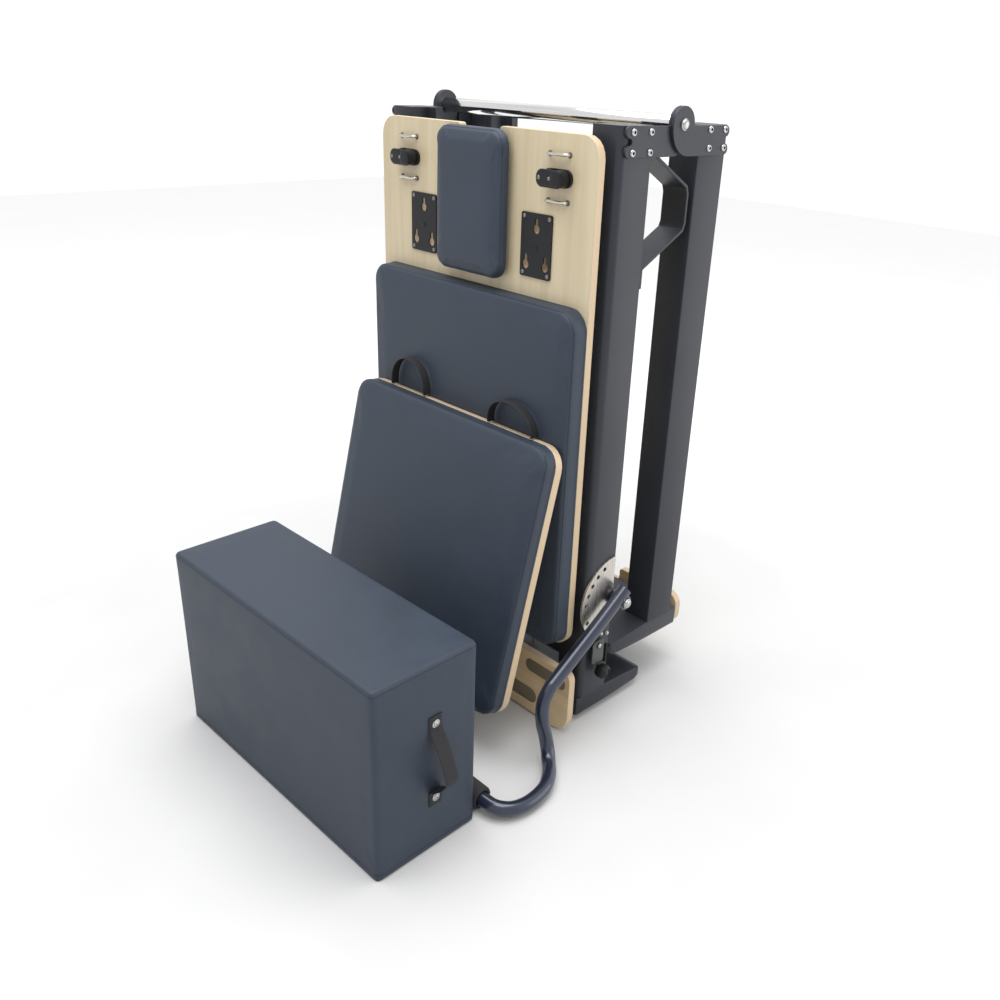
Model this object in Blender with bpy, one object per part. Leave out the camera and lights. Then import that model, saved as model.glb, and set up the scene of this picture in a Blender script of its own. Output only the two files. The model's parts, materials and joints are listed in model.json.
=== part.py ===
"""Folding pilates reformer, standing folded on its foot end.

Metres, +Z up. X runs across the machine, Y runs from its front to its back.
The front half of the frame stands still. The rear half hangs from the pivot at
the top and swings back and up to unfold. The carriage slides along the rails.
Sizes below are written in a working frame whose Y = 0 is the front face of the
front rails. Everything hangs from one empty that moves the origin to the middle
of the object's footprint.
"""
import math

import bmesh
import bpy
from mathutils import Matrix, Vector

# Clearances between neighbouring pieces.
CONTACT_GAP = 0.0003
RUNNING_GAP = 0.0006

# Frame rails.
FRAME_WIDTH = 0.648
RAIL_WIDTH = 0.069
RAIL_DEPTH = 0.0866
RAIL_WALL = 0.003
RAIL_OUTER_RADIUS = 0.014
REAR_RAIL_OUTER_RADIUS = 0.004
RAIL_EDGE_RADIUS = 0.003
RAIL_TOP = 1.246
FOLD_GAP = 0.1387
TRACK_LIP_WIDTH = 0.028
TRACK_LIP_THICKNESS = 0.004

# Legs at the two ends of the frame, which are trays of sheet steel.
FOOT_HEIGHT = 0.015
LEG_THICKNESS = 0.044
LEG_OVERHANG = 0.005
REAR_LEG_OVERHANG = 0.021
LEG_REACH = 0.219
LEG_WALL = 0.003
LEG_FLOOR_GAP = 0.0025
LEG_FLOOR_CORNER = 0.008
LEG_FLOOR_END_GAP = 0.039
REAR_LEG_RAISE = 0.1075
BASE_THICKNESS = 0.003
FOOT_WIDTH = 0.09
FOOT_LENGTH = 0.155
FOOT_INSET = 0.022

# Middle legs, one bent strap on each front rail.
MIDDLE_LEG_WIDTH = 0.058
MIDDLE_LEG_THICKNESS = 0.006
MIDDLE_LEG_TOP = 1.222
MIDDLE_LEG_BOTTOM = 0.9575
MIDDLE_LEG_REACH = 0.212
MIDDLE_LEG_TOP_TAB = 0.02
MIDDLE_LEG_BOTTOM_TAB = 0.037
MIDDLE_LEG_FLAT_DROP = 0.098
MIDDLE_LEG_FLAT_LENGTH = 0.055
MIDDLE_LEG_BEND_LENGTH = 0.013
MIDDLE_LEG_BEND_DEPTH = 0.005
MIDDLE_LEG_SIDE_INSET = 0.002

# Fold hinge.
PIVOT_RAISE = 0.002
KNUCKLE_RADIUS = 0.031
HINGE_PLATE_THICKNESS = 0.006
HINGE_PLATE_HEIGHT = 0.053
HINGE_PLATE_INSET = 0.005
REAR_HINGE_PLATE_INSET = 0.0125
HINGE_CORNER_RADIUS = 0.05
HINGE_EAR_RADIUS = 0.0105
HINGE_SCALLOP_INSET = 0.001
HINGE_PAD_CLEARANCE = 0.004
HINGE_PIN_RADIUS = 0.006
PIN_HEAD_RADIUS = 0.0105
PIN_HEAD_THICKNESS = 0.0035
PIN_HOLE_GAP = 0.0005
ROD_RADIUS = 0.0155
ROD_WALL = 0.002

# Foot platform and head board.
PLYWOOD = 0.018
PLATFORM_WIDTH = 0.692
PLATFORM_BOTTOM = 0.004
PLATFORM_TOP = 0.159
PLATFORM_STANDOFF = 0.042
PLATFORM_BOTTOM_RADIUS = 0.045
PLATFORM_TOP_RADIUS = 0.02
BRACKET_WALL = 0.003
PLATFORM_BRACKET_WIDTH = 0.6
PLATFORM_BRACKET_BOTTOM = 0.07
PLATFORM_BRACKET_TOP = 0.13
HEAD_BOARD_WIDTH = 0.62
HEAD_BOARD_BOTTOM = 0.099
HEAD_BOARD_TOP = 0.182
HEAD_BOARD_CORNER = 0.03
HEAD_BOARD_STANDOFF = 0.042
HEAD_NOTCH_WIDTH = 0.256
HEAD_NOTCH_DEPTH = 0.035
HEAD_NOTCH_LIP_RADIUS = 0.008
HEAD_NOTCH_FLOOR_RADIUS = 0.012
HEAD_BRACKET_WIDTH = 0.58
HEAD_BRACKET_HEIGHT = 0.017

# Carriage.
BOARD_WIDTH = 0.617
BOARD_THICKNESS = 0.017
BOARD_BOTTOM = 0.2
BOARD_TOP = 1.229
BOARD_CORNER = 0.039
BOARD_STANDOFF = 0.019
BOARD_NOTCH_WIDTH = 0.114
BOARD_NOTCH_DEPTH = 0.13
BOARD_NOTCH_LIP_RADIUS = 0.006
BOARD_NOTCH_FLOOR_RADIUS = 0.02
PAD_MARGIN = 0.0005
PAD_WIDTH = BOARD_WIDTH - 2 * PAD_MARGIN
PAD_THICKNESS = 0.0397
PAD_BOTTOM = 0.2025
PAD_TOP = 0.93
PAD_CORNER = 0.043
PAD_CROWN = 0.004
HEADREST_WIDTH = 0.193
HEADREST_THICKNESS = 0.0395
HEADREST_LIFT = 0.011
HEADREST_BACKING_INSET = 0.014
HEADREST_DROP = 0.0035
HEADREST_HEIGHT = 0.275
HEADREST_TOP = BOARD_TOP - HEADREST_DROP
HEADREST_BOTTOM = HEADREST_TOP - HEADREST_HEIGHT
HEADREST_CORNER = 0.03
CUSHION_EDGE = 0.009

# Rolling gear under the carriage.
WHEEL_RADIUS = 0.0225
WHEEL_WIDTH = 0.02
WHEEL_RAIL_GAP = 0.0095
AXLE_RADIUS = 0.005
AXLE_DEPTH = 0.02
BEAM_WIDTH = 0.03
BEAM_THICKNESS = 0.004
LOWER_BEAM_HEIGHT = 0.4
UPPER_BEAM_HEIGHT = 1.17

# Springs between the foot end and the carriage.
SPRING_POSITIONS = (-0.15, -0.06, 0.06, 0.15)
SPRING_COIL_RADIUS = 0.0105
SPRING_WIRE_RADIUS = 0.002
SPRING_CURLS = 7
SPRING_CURL_POINTS = 8
SPRING_DEPTH = 0.026
SPRING_BAR_TOP = 0.115
SPRING_BAR_HEIGHT = 0.02
SPRING_BAR_DEPTH = 0.026
HOOK_PLATE_THICKNESS = 0.004

# Shoulder rest sockets, a plate with three keyholes on each side.
SOCKET_INSET = 0.1415
SOCKET_X = BOARD_WIDTH / 2 - SOCKET_INSET
SOCKET_DROP = 0.2033
SOCKET_Z = BOARD_TOP - SOCKET_DROP
SOCKET_WIDTH = 0.081
SOCKET_HEIGHT = 0.119
SOCKET_THICKNESS = 0.003
KEYHOLES = ((0.0, 0.031), (-0.0257, -0.0365), (0.0257, -0.0365))
KEYHOLE_RADIUS = 0.0085
KEYHOLE_SLOT_WIDTH = 0.008
KEYHOLE_SLOT_LENGTH = 0.016
SOCKET_BORE_RADIUS = 0.011

# Rope cleats and rope loops.
CLEAT_INSET = 0.0925
CLEAT_X = BOARD_WIDTH / 2 - CLEAT_INSET
CLEAT_DROP = 0.077
CLEAT_Z = BOARD_TOP - CLEAT_DROP
CLEAT_LENGTH = 0.07
CLEAT_WIDTH = 0.032
CLEAT_BASE = 0.006
CAM_SPACING = 0.034
CAM_RADIUS = 0.0115
CAM_NOSE = 0.0135
CAM_HEIGHT = 0.013
CAM_POST_RADIUS = 0.0045
CAM_CAP_RADIUS = 0.0105
CAM_CAP_THICKNESS = 0.0035
LOOP_RISE = 0.0405
LOOP_SPAN = 0.049
LOOP_HEIGHT = 0.012
LOOP_WIRE_RADIUS = 0.0029
LOOP_BEND_RADIUS = 0.006

# Footbar. Its route starts with the distance outside the rail's side face.
FOOTBAR_PIVOT_Y = 0.083
FOOTBAR_PIVOT_Z = 0.293
FOOTBAR_TUBE_RADIUS = 0.015
FOOTBAR_BOSS_RADIUS = 0.017
FOOTBAR_BOSS_LENGTH = 0.035
FOOTBAR_SIDE_GAP = 0.006
FOOTBAR_BOLT_RADIUS = 0.006
FOOTBAR_BOLT_HEAD_RADIUS = 0.0105
FOOTBAR_BOLT_HEAD_THICKNESS = 0.004
FOOTBAR_GRIP_OVERRUN = 0.018
FOOTBAR_GRIP_RADIUS = 0.0235
FOOTBAR_GRIP_GAP = 0.001
FOOTBAR_ROUTE = (
    (0.028, 0.092, 0.318),
    (0.028, 0.02, 0.266),
    (0.028, -0.1, 0.185),
    (0.029, -0.1286, 0.166),
    (0.033, -0.15, 0.14),
    (0.038, -0.155, 0.1),
    (0.044, -0.15, 0.062),
    (0.054, -0.152, 0.035),
    (0.071, -0.165, 0.02),
    (0.094, -0.187, 0.018),
    (0.116, -0.22, 0.018),
    (0.125, -0.255, 0.018),
    (0.126, -0.29, 0.019),
    (0.117, -0.319, 0.021),
    (0.097, -0.338, 0.0235),
    (0.072, -0.343, 0.025),
    (0.046, -0.343, 0.025),
)

# Index plates with the footbar's locking holes.
INDEX_RADIUS = 0.1
INDEX_THICKNESS = 0.0045
INDEX_EDGE_INSET = 0.006
INDEX_LUG_RADIUS = 0.0115
INDEX_HOLE_RING = 0.087
INDEX_HOLE_RADIUS = 0.005
INDEX_HOLE_COUNT = 8
INDEX_HOLE_PITCH = 15.1
INDEX_FIRST_ANGLE = 65.7
INDEX_LOWER_ANGLE = 47

# Latch on the right rail.
LATCH_Y = 0.039
LATCH_Z = 0.19
LATCH_BASE_WIDTH = 0.042
LATCH_BASE_TOP = 0.218
LATCH_BASE_BOTTOM = 0.176
LATCH_BASE_THICKNESS = 0.004
LATCH_STUD_RADIUS = 0.004
LATCH_HEAD_RADIUS = 0.0068
LATCH_HEAD_THICKNESS = 0.003
LATCH_LEVER_GAP = 0.0085
LATCH_LEVER_THICKNESS = 0.004
LATCH_LEVER_WIDTH = 0.036
LATCH_LEVER_LENGTH = 0.046
KNOB_RADIUS = 0.0165
KNOB_DROP = 0.066

# Jump board, leaning on the carriage pad.
JUMP_X = 0.0035
JUMP_WIDTH = 0.617
JUMP_LENGTH = 0.578
JUMP_TILT = 13.7
JUMP_FOOT_Z = 0.106
JUMP_CORNER = 0.045
JUMP_PAD_THICKNESS = 0.0317
JUMP_PAD_MARGIN = 0.0005
JUMP_POST_RADIUS = 0.0125
JUMP_POST_X = 0.18
JUMP_POST_UP = 0.2
JUMP_PLATE_HEIGHT = 0.08
JUMP_PLATE_THICKNESS = 0.004
JUMP_LOOPS = ((-0.1575, 0.114, 0.068), (0.169, 0.127, 0.054))
JUMP_LOOP_WIDTH = 0.02

# Sitting box.
BOX_X = 0.0715
BOX_GRIP_GAP = 0.0145
BOX_TURN = 1.4
BOX_LENGTH = 0.654
BOX_DEPTH = 0.231
BOX_HEIGHT = 0.407
BOX_EDGE = 0.009
BOX_CORNER = 0.012
BOX_CROWN = 0.003
HANDLE_OFFSET = 0.0155
HANDLE_TOP = 0.283
HANDLE_BOTTOM = 0.1195
HANDLE_WIDTH = 0.03
HANDLE_BOW = 0.045
HANDLE_TAB = 0.017
WEBBING = 0.0022

# Sizes worked out from the ones above.
HALF_WIDTH = FRAME_WIDTH / 2
RAIL_INNER = HALF_WIDTH - RAIL_WIDTH
REAR_RAIL_FRONT = RAIL_DEPTH + FOLD_GAP
REAR_RAIL_BACK = REAR_RAIL_FRONT + RAIL_DEPTH
PIVOT_Y = RAIL_DEPTH + FOLD_GAP / 2
PIVOT_Z = RAIL_TOP + PIVOT_RAISE
FRONT_LEG_TOP = FOOT_HEIGHT + LEG_THICKNESS
REAR_LEG_TOP = FRONT_LEG_TOP + REAR_LEG_RAISE
REAR_LEG_BACK = REAR_RAIL_BACK + REAR_LEG_OVERHANG
PLATE_INNER = HALF_WIDTH + 0.0005
PLATE_OUTER = PLATE_INNER + HINGE_PLATE_THICKNESS
REAR_PLATE_INNER = PLATE_OUTER + RUNNING_GAP
REAR_PLATE_OUTER = REAR_PLATE_INNER + HINGE_PLATE_THICKNESS
TRACK_Y = AXLE_DEPTH + WHEEL_RADIUS + CONTACT_GAP
BOARD_BACK = -BOARD_STANDOFF
BOARD_FRONT = BOARD_BACK - BOARD_THICKNESS
PAD_BACK = BOARD_FRONT - CONTACT_GAP
PAD_FRONT = PAD_BACK - PAD_THICKNESS
JUMP_FOOT_Y = PAD_FRONT - RUNNING_GAP - JUMP_LENGTH * math.sin(math.radians(JUMP_TILT))
WHEEL_OUTER = RAIL_INNER - WHEEL_RAIL_GAP
WHEEL_INNER = WHEEL_OUTER - WHEEL_WIDTH
HANGER_OUTER = WHEEL_INNER - 0.004
BOX_Y = FOOTBAR_ROUTE[-1][1] - FOOTBAR_GRIP_RADIUS - BOX_GRIP_GAP - BOX_DEPTH / 2
BOX_SKEW = BOX_LENGTH / 2 * math.sin(math.radians(BOX_TURN))
BOX_FRONT = BOX_Y - BOX_DEPTH / 2 - BOX_SKEW
HEAD_BOARD_FRONT = REAR_RAIL_BACK + HEAD_BOARD_STANDOFF
HEAD_BOARD_BACK = HEAD_BOARD_FRONT + PLYWOOD
ORIGIN_Y = (BOX_FRONT + HEAD_BOARD_BACK) / 2
INDEX_INNER = HALF_WIDTH + CONTACT_GAP
INDEX_OUTER = INDEX_INNER + INDEX_THICKNESS
FOOTBAR_BOSS_INNER = HALF_WIDTH + FOOTBAR_SIDE_GAP
FOOTBAR_BOSS_OUTER = FOOTBAR_BOSS_INNER + FOOTBAR_BOSS_LENGTH
FOOTBAR_GRIP_LENGTH = 2 * (HALF_WIDTH + FOOTBAR_ROUTE[-1][0] + FOOTBAR_GRIP_OVERRUN)
LATCH_LEVER_INNER = HALF_WIDTH + LATCH_LEVER_GAP

ANCHORS = {}


def remove_scene_objects():
    for old in list(bpy.data.objects):
        bpy.data.objects.remove(old, do_unlink=True)


def finish(name, colour, roughness, metallic):
    """Material with one colour, one roughness and one metallic value."""
    material = bpy.data.materials.new(name)
    material.use_nodes = True
    shader = material.node_tree.nodes["Principled BSDF"]
    shader.inputs["Base Color"].default_value = (*colour, 1.0)
    shader.inputs["Roughness"].default_value = roughness
    shader.inputs["Metallic"].default_value = metallic
    material.diffuse_color = (*colour, 1.0)
    return material


def anchor(name, point, parent=None, tilt=0.0):
    """Empty at a point of the working frame, tilted about X where asked."""
    empty = bpy.data.objects.new(name, None)
    empty.empty_display_size = 0.05
    bpy.context.collection.objects.link(empty)
    empty.rotation_euler = (tilt, 0.0, 0.0)
    if parent is None:
        empty.location = point
        ANCHORS[name] = Vector((0.0, 0.0, 0.0))
    else:
        empty.parent = parent
        empty.location = Vector(point) - ANCHORS[parent.name]
        ANCHORS[name] = Vector(point)
    return empty


def add_node(name, shape, material, parent, smooth_angle=35.0):
    """Turn a shape drawn in the working frame into a named object under its anchor."""
    origin = ANCHORS[parent.name]
    bmesh.ops.translate(shape, verts=shape.verts, vec=-origin)
    return add_local_node(name, shape, material, parent, smooth_angle)


def add_local_node(name, shape, material, parent, smooth_angle=35.0):
    """Turn a shape drawn in its anchor's own frame into a named object."""
    bmesh.ops.recalc_face_normals(shape, faces=shape.faces)
    mesh = bpy.data.meshes.new(name)
    shape.to_mesh(mesh)
    shape.free()
    mesh.materials.append(material)
    mesh.shade_smooth()
    mesh.set_sharp_from_angle(angle=math.radians(smooth_angle))
    piece = bpy.data.objects.new(name, mesh)
    bpy.context.collection.objects.link(piece)
    piece.parent = parent
    return piece


def mirrored(shape):
    """The same shape on the other side of the machine."""
    bmesh.ops.scale(shape, verts=shape.verts, vec=(-1.0, 1.0, 1.0))
    bmesh.ops.reverse_faces(shape, faces=shape.faces)
    return shape


def to_rear_half(shape):
    """The same shape on the rear half, which mirrors the front half about the pivot."""
    bmesh.ops.scale(shape, verts=shape.verts, vec=(1.0, -1.0, 1.0))
    bmesh.ops.reverse_faces(shape, faces=shape.faces)
    bmesh.ops.translate(shape, verts=shape.verts, vec=(0.0, 2 * PIVOT_Y, 0.0))
    return shape


def arc(centre, radius, start, end, steps):
    """Points along an arc, angles in degrees."""
    points = []
    for index in range(steps + 1):
        angle = math.radians(start + (end - start) * index / steps)
        points.append((centre[0] + radius * math.cos(angle), centre[1] + radius * math.sin(angle)))
    return points


def circle(centre, radius, count=16):
    return arc(centre, radius, 0, 360 - 360 / count, count - 1)


def rounded_rectangle(low, high, radii, steps=4):
    """Outline with its own radius at each corner, in the order of the four quadrants."""
    first, second, third, fourth = radii
    outline = arc((high[0] - first, high[1] - first), first, 0, 90, steps)
    outline += arc((low[0] + second, high[1] - second), second, 90, 180, steps)
    outline += arc((low[0] + third, low[1] + third), third, 180, 270, steps)
    outline += arc((high[0] - fourth, low[1] + fourth), fourth, 270, 360, steps)
    return outline


def to_space(axis, across, up, along):
    if axis == "X":
        return Vector((along, across, up))
    if axis == "Y":
        return Vector((across, along, up))
    return Vector((across, up, along))


def extruded(loops, axis, start, end):
    """Solid with an outline and holes, drawn across an axis and extruded along it."""
    shape = bmesh.new()
    for loop in loops:
        corners = [shape.verts.new(to_space(axis, u, v, start)) for u, v in loop]
        for index, corner in enumerate(corners):
            shape.edges.new((corners[index - 1], corner))
    bmesh.ops.triangle_fill(shape, use_beauty=True, use_dissolve=False, edges=shape.edges[:])
    grown = bmesh.ops.extrude_face_region(shape, geom=shape.faces[:])
    moved = [item for item in grown["geom"] if isinstance(item, bmesh.types.BMVert)]
    bmesh.ops.translate(shape, verts=moved, vec=to_space(axis, 0.0, 0.0, end - start))
    bmesh.ops.recalc_face_normals(shape, faces=shape.faces)
    return shape


def block(low, high):
    outline = [(low[0], low[1]), (high[0], low[1]), (high[0], high[1]), (low[0], high[1])]
    return extruded([outline], "Z", low[2], high[2])


def rod(axis, centre, radius, start, end, count=16):
    return extruded([circle(centre, radius, count)], axis, start, end)


def lofted(rings):
    """Solid through rings of as many points each, closed by a face at both ends."""
    shape = bmesh.new()
    layers = [[shape.verts.new(point) for point in ring] for ring in rings]
    count = len(rings[0])
    for lower, upper in zip(layers, layers[1:]):
        for index in range(count):
            shape.faces.new((lower[index - 1], lower[index], upper[index], upper[index - 1]))
    shape.faces.new(layers[0])
    shape.faces.new(layers[-1])
    bmesh.ops.triangulate(shape, faces=shape.faces)
    bmesh.ops.recalc_face_normals(shape, faces=shape.faces)
    return shape


def swept(route, radius, sides=12):
    """Round bar along a route, with flat ends."""
    route = [Vector(point) for point in route]
    rings = []
    side = None
    for index, point in enumerate(route):
        before = route[max(index - 1, 0)]
        after = route[min(index + 1, len(route) - 1)]
        along = (after - before).normalized()
        if side is None:
            side = along.orthogonal().normalized()
        side = (side - along * side.dot(along)).normalized()
        up = along.cross(side)
        ring = []
        for step in range(sides):
            angle = 2 * math.pi * step / sides
            ring.append(point + (side * math.cos(angle) + up * math.sin(angle)) * radius)
        rings.append(ring)
    return lofted(rings)


def smooth_route(points, steps):
    """Points of a smooth curve that passes through the given points."""
    points = [Vector(point) for point in points]
    route = []
    for index in range(len(points) - 1):
        start, end = points[index], points[index + 1]
        before = points[max(index - 1, 0)]
        after = points[min(index + 2, len(points) - 1)]
        leaving = (end - before) / 2
        arriving = (after - start) / 2
        for step in range(steps):
            t = step / steps
            route.append(
                start * (2 * t**3 - 3 * t**2 + 1)
                + leaving * (t**3 - 2 * t**2 + t)
                + end * (3 * t**2 - 2 * t**3)
                + arriving * (t**3 - t**2)
            )
    route.append(points[-1])
    return route


def ribbon(path, thickness):
    """Closed outline of a strip of even thickness along a path, with mitred bends."""
    path = [Vector(point) for point in path]
    left = []
    right = []
    for index, point in enumerate(path):
        before = (point - path[index - 1]).normalized() if index else None
        after = (path[index + 1] - point).normalized() if index < len(path) - 1 else None
        before = before or after
        after = after or before
        normal = Vector((-before.y - after.y, before.x + after.x)).normalized()
        reach = thickness / 2 / max(normal.dot(Vector((-before.y, before.x))), 0.3)
        left.append(tuple(point + normal * reach))
        right.append(tuple(point - normal * reach))
    return left + right[::-1]


def combined(first, second, operation):
    """One solid made from two, joined or with the second cut away."""
    pieces = []
    for label, shape in (("first_shape", first), ("second_shape", second)):
        mesh = bpy.data.meshes.new(label)
        shape.to_mesh(mesh)
        shape.free()
        piece = bpy.data.objects.new(label, mesh)
        bpy.context.collection.objects.link(piece)
        pieces.append(piece)
    boolean = pieces[0].modifiers.new("combine", "BOOLEAN")
    boolean.operation = operation
    boolean.solver = "EXACT"
    boolean.object = pieces[1]
    graph = bpy.context.evaluated_depsgraph_get()
    result = bmesh.new()
    evaluated = pieces[0].evaluated_get(graph)
    result.from_mesh(evaluated.to_mesh())
    evaluated.to_mesh_clear()
    for piece in pieces:
        mesh = piece.data
        bpy.data.objects.remove(piece, do_unlink=True)
        bpy.data.meshes.remove(mesh)
    return result


def joined(first, *others):
    for other in others:
        first = combined(first, other, "UNION")
    return first


def cut(first, *others):
    for other in others:
        first = combined(first, other, "DIFFERENCE")
    return first


def cushion_ring(width, height, radius, pull, inset, corner_steps=4, side_steps=6):
    """Rounded rectangle about its centre whose sides draw in between the corners."""
    half_width = width / 2 - inset
    half_height = height / 2 - inset
    radius = max(radius - inset, 0.002)
    low = (-half_width, -half_height)
    high = (half_width, half_height)
    corners = rounded_rectangle(low, high, [radius] * 4, corner_steps)
    ring = []
    for index, corner in enumerate(corners):
        ring.append(corner)
        following = corners[(index + 1) % len(corners)]
        if index % (corner_steps + 1) == corner_steps:
            for step in range(1, side_steps):
                share = step / side_steps
                draw = pull * math.sin(math.pi * share)
                u = corner[0] + (following[0] - corner[0]) * share
                v = corner[1] + (following[1] - corner[1]) * share
                if abs(corner[0] - following[0]) > abs(corner[1] - following[1]):
                    v -= draw * math.copysign(1.0, v)
                else:
                    u -= draw * math.copysign(1.0, u)
                ring.append((u, v))
    return ring


def cushion(width, height, thickness, radius, edge, crown, pull, lift=0.0, lift_inset=0.0):
    """Crowned pad about its centre, its flat back at zero and its front towards minus Y.

    A lift sets the padding off on a backing board that is inset all round.
    """
    levels = [(0.0, lift_inset), (lift, lift_inset)] if lift else []
    levels += [
        (lift, edge * 0.35),
        (lift + edge * 0.45, 0.0),
        (thickness - crown - edge, 0.0),
        (thickness - crown - edge * 0.3, edge * 0.3),
        (thickness - crown, edge),
    ]
    rings = []
    for depth, inset in levels:
        outline = cushion_ring(width, height, radius, pull, inset)
        rings.append([Vector((u, -depth, v)) for u, v in outline])
    outer = cushion_ring(width, height, radius, pull, edge)
    for share in (0.85, 0.6, 0.3):
        ring = []
        for u, v in outer:
            rise = crown * (1 - share**2)
            ring.append(Vector((u * share, -(thickness - crown + rise), v * share)))
        rings.append(ring)
    return lofted(rings)


def rail_outline(outer_radius):
    """Section of the right front rail, with the lip that carries the wheels."""
    edge = RAIL_EDGE_RADIUS
    outline = [(RAIL_INNER, TRACK_Y), (RAIL_INNER, edge)]
    outline += arc((RAIL_INNER + edge, edge), edge, 180, 270, 2)[1:]
    outline += arc((HALF_WIDTH - outer_radius, outer_radius), outer_radius, 270, 360, 6)
    outline += arc((HALF_WIDTH - edge, RAIL_DEPTH - edge), edge, 0, 90, 2)
    outline += arc((RAIL_INNER + edge, RAIL_DEPTH - edge), edge, 90, 180, 2)
    outline += [
        (RAIL_INNER, TRACK_Y + TRACK_LIP_THICKNESS),
        (RAIL_INNER - TRACK_LIP_WIDTH, TRACK_Y + TRACK_LIP_THICKNESS),
        (RAIL_INNER - TRACK_LIP_WIDTH, TRACK_Y),
    ]
    return outline


def rail(bottom, outer_radius):
    """Hollow rail, closed at its top and open at its bottom."""
    bore_radius = outer_radius - RAIL_WALL
    bore = rounded_rectangle(
        (RAIL_INNER + RAIL_WALL, RAIL_WALL),
        (HALF_WIDTH - RAIL_WALL, RAIL_DEPTH - RAIL_WALL),
        (0.002, 0.002, 0.002, bore_radius),
        3,
    )
    outer = extruded([rail_outline(outer_radius)], "Z", bottom, RAIL_TOP)
    inner = extruded([bore], "Z", bottom - 0.01, RAIL_TOP - RAIL_WALL)
    return cut(outer, inner)


def build_rails(root, rear, paint):
    front_bottom = FRONT_LEG_TOP + CONTACT_GAP
    rear_bottom = REAR_LEG_TOP + CONTACT_GAP
    add_node("front_rail_right", rail(front_bottom, RAIL_OUTER_RADIUS), paint, root)
    add_node("front_rail_left", mirrored(rail(front_bottom, RAIL_OUTER_RADIUS)), paint, root)
    rear_right = to_rear_half(rail(rear_bottom, REAR_RAIL_OUTER_RADIUS))
    rear_left = mirrored(to_rear_half(rail(rear_bottom, REAR_RAIL_OUTER_RADIUS)))
    add_node("rear_rail_right", rear_right, paint, rear)
    add_node("rear_rail_left", rear_left, paint, rear)


def leg_ring(y, half_width, bottom, top):
    radius = min(0.004, (top - bottom) / 3)
    outline = rounded_rectangle((-half_width, bottom), (half_width, top), [radius] * 4, 2)
    return [Vector((u, y, v)) for u, v in outline]


def leg_shape(inset, raise_by, overhang, bottom_drop=0.0):
    """End leg: deepest under the rails, thinner and rounded towards its far end."""
    far = LEG_REACH
    low = FOOT_HEIGHT
    high = FRONT_LEG_TOP
    stations = (
        (-overhang, 0.0015, low, high),
        (-overhang + 0.003, 0.0, low, high),
        (RAIL_DEPTH + 0.003, 0.0, low + 0.0005, high),
        (far - 0.022, 0.0, low + 0.005, high - 0.007),
        (far - 0.008, 0.002, low + 0.0085, high - 0.009),
        (far, 0.008, low + 0.016, high - 0.015),
    )
    rings = []
    length = far + overhang
    for y, side_inset, bottom, top in stations:
        along = (y + overhang) * (length - 2 * inset) / length + inset - overhang
        half = HALF_WIDTH - side_inset - inset
        rings.append(leg_ring(along, half, bottom - bottom_drop + raise_by, top - inset + raise_by))
    return lofted(rings)


def leg_tray(raise_by, overhang):
    hollow = leg_shape(LEG_WALL, raise_by, overhang, bottom_drop=0.02)
    return cut(leg_shape(0.0, raise_by, overhang), hollow)


def leg_floor(raise_by, overhang):
    """Sheet that closes the underside of an end leg."""
    half = HALF_WIDTH - LEG_WALL - LEG_FLOOR_GAP
    low = (-half, -overhang + LEG_WALL + 0.001)
    high = (half, LEG_REACH - LEG_FLOOR_END_GAP)
    outline = rounded_rectangle(low, high, [LEG_FLOOR_CORNER] * 4, 2)
    level = FOOT_HEIGHT + 0.0015 + raise_by
    return extruded([outline], "Z", level, level + BASE_THICKNESS)


def build_legs(root, rear, paint, rubber):
    rear_leg = to_rear_half(leg_tray(REAR_LEG_RAISE, REAR_LEG_OVERHANG))
    rear_cap = to_rear_half(leg_floor(REAR_LEG_RAISE, REAR_LEG_OVERHANG))
    add_node("front_leg", leg_tray(0.0, LEG_OVERHANG), paint, root)
    add_node("rear_leg", rear_leg, paint, rear)
    add_node("rear_leg_cap", rear_cap, rubber, rear)
    cover = leg_floor(0.0, LEG_OVERHANG)
    foot_top = FOOT_HEIGHT + 0.0015 + BASE_THICKNESS / 2
    feet = []
    for side in (-1, 1):
        centre = side * (HALF_WIDTH - FOOT_INSET - FOOT_WIDTH / 2)
        low = (centre - FOOT_WIDTH / 2, FOOT_INSET, 0.0)
        high = (centre + FOOT_WIDTH / 2, FOOT_INSET + FOOT_LENGTH, foot_top)
        feet.append(block(low, high))
    add_node("front_leg_base", joined(cover, *feet), rubber, root)


def middle_leg():
    """Bent strap that carries the middle of the unfolded frame."""
    back = RAIL_DEPTH + CONTACT_GAP + MIDDLE_LEG_THICKNESS / 2
    foot = MIDDLE_LEG_REACH - MIDDLE_LEG_THICKNESS / 2
    flat_top = MIDDLE_LEG_TOP - MIDDLE_LEG_FLAT_DROP
    flat_bottom = flat_top - MIDDLE_LEG_FLAT_LENGTH
    path = (
        (back, MIDDLE_LEG_TOP),
        (back, MIDDLE_LEG_TOP - MIDDLE_LEG_TOP_TAB),
        (foot - MIDDLE_LEG_BEND_DEPTH, flat_top + MIDDLE_LEG_BEND_LENGTH),
        (foot, flat_top),
        (foot, flat_bottom),
        (foot - MIDDLE_LEG_BEND_DEPTH, flat_bottom - MIDDLE_LEG_BEND_LENGTH),
        (back, MIDDLE_LEG_BOTTOM + MIDDLE_LEG_BOTTOM_TAB),
        (back, MIDDLE_LEG_BOTTOM),
    )
    inner = HALF_WIDTH - MIDDLE_LEG_WIDTH - MIDDLE_LEG_SIDE_INSET
    return extruded([ribbon(path, MIDDLE_LEG_THICKNESS)], "X", inner, inner + MIDDLE_LEG_WIDTH)


def build_middle_legs(root, paint):
    add_node("middle_leg_right", middle_leg(), paint, root)
    add_node("middle_leg_left", mirrored(middle_leg()), paint, root)


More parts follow.
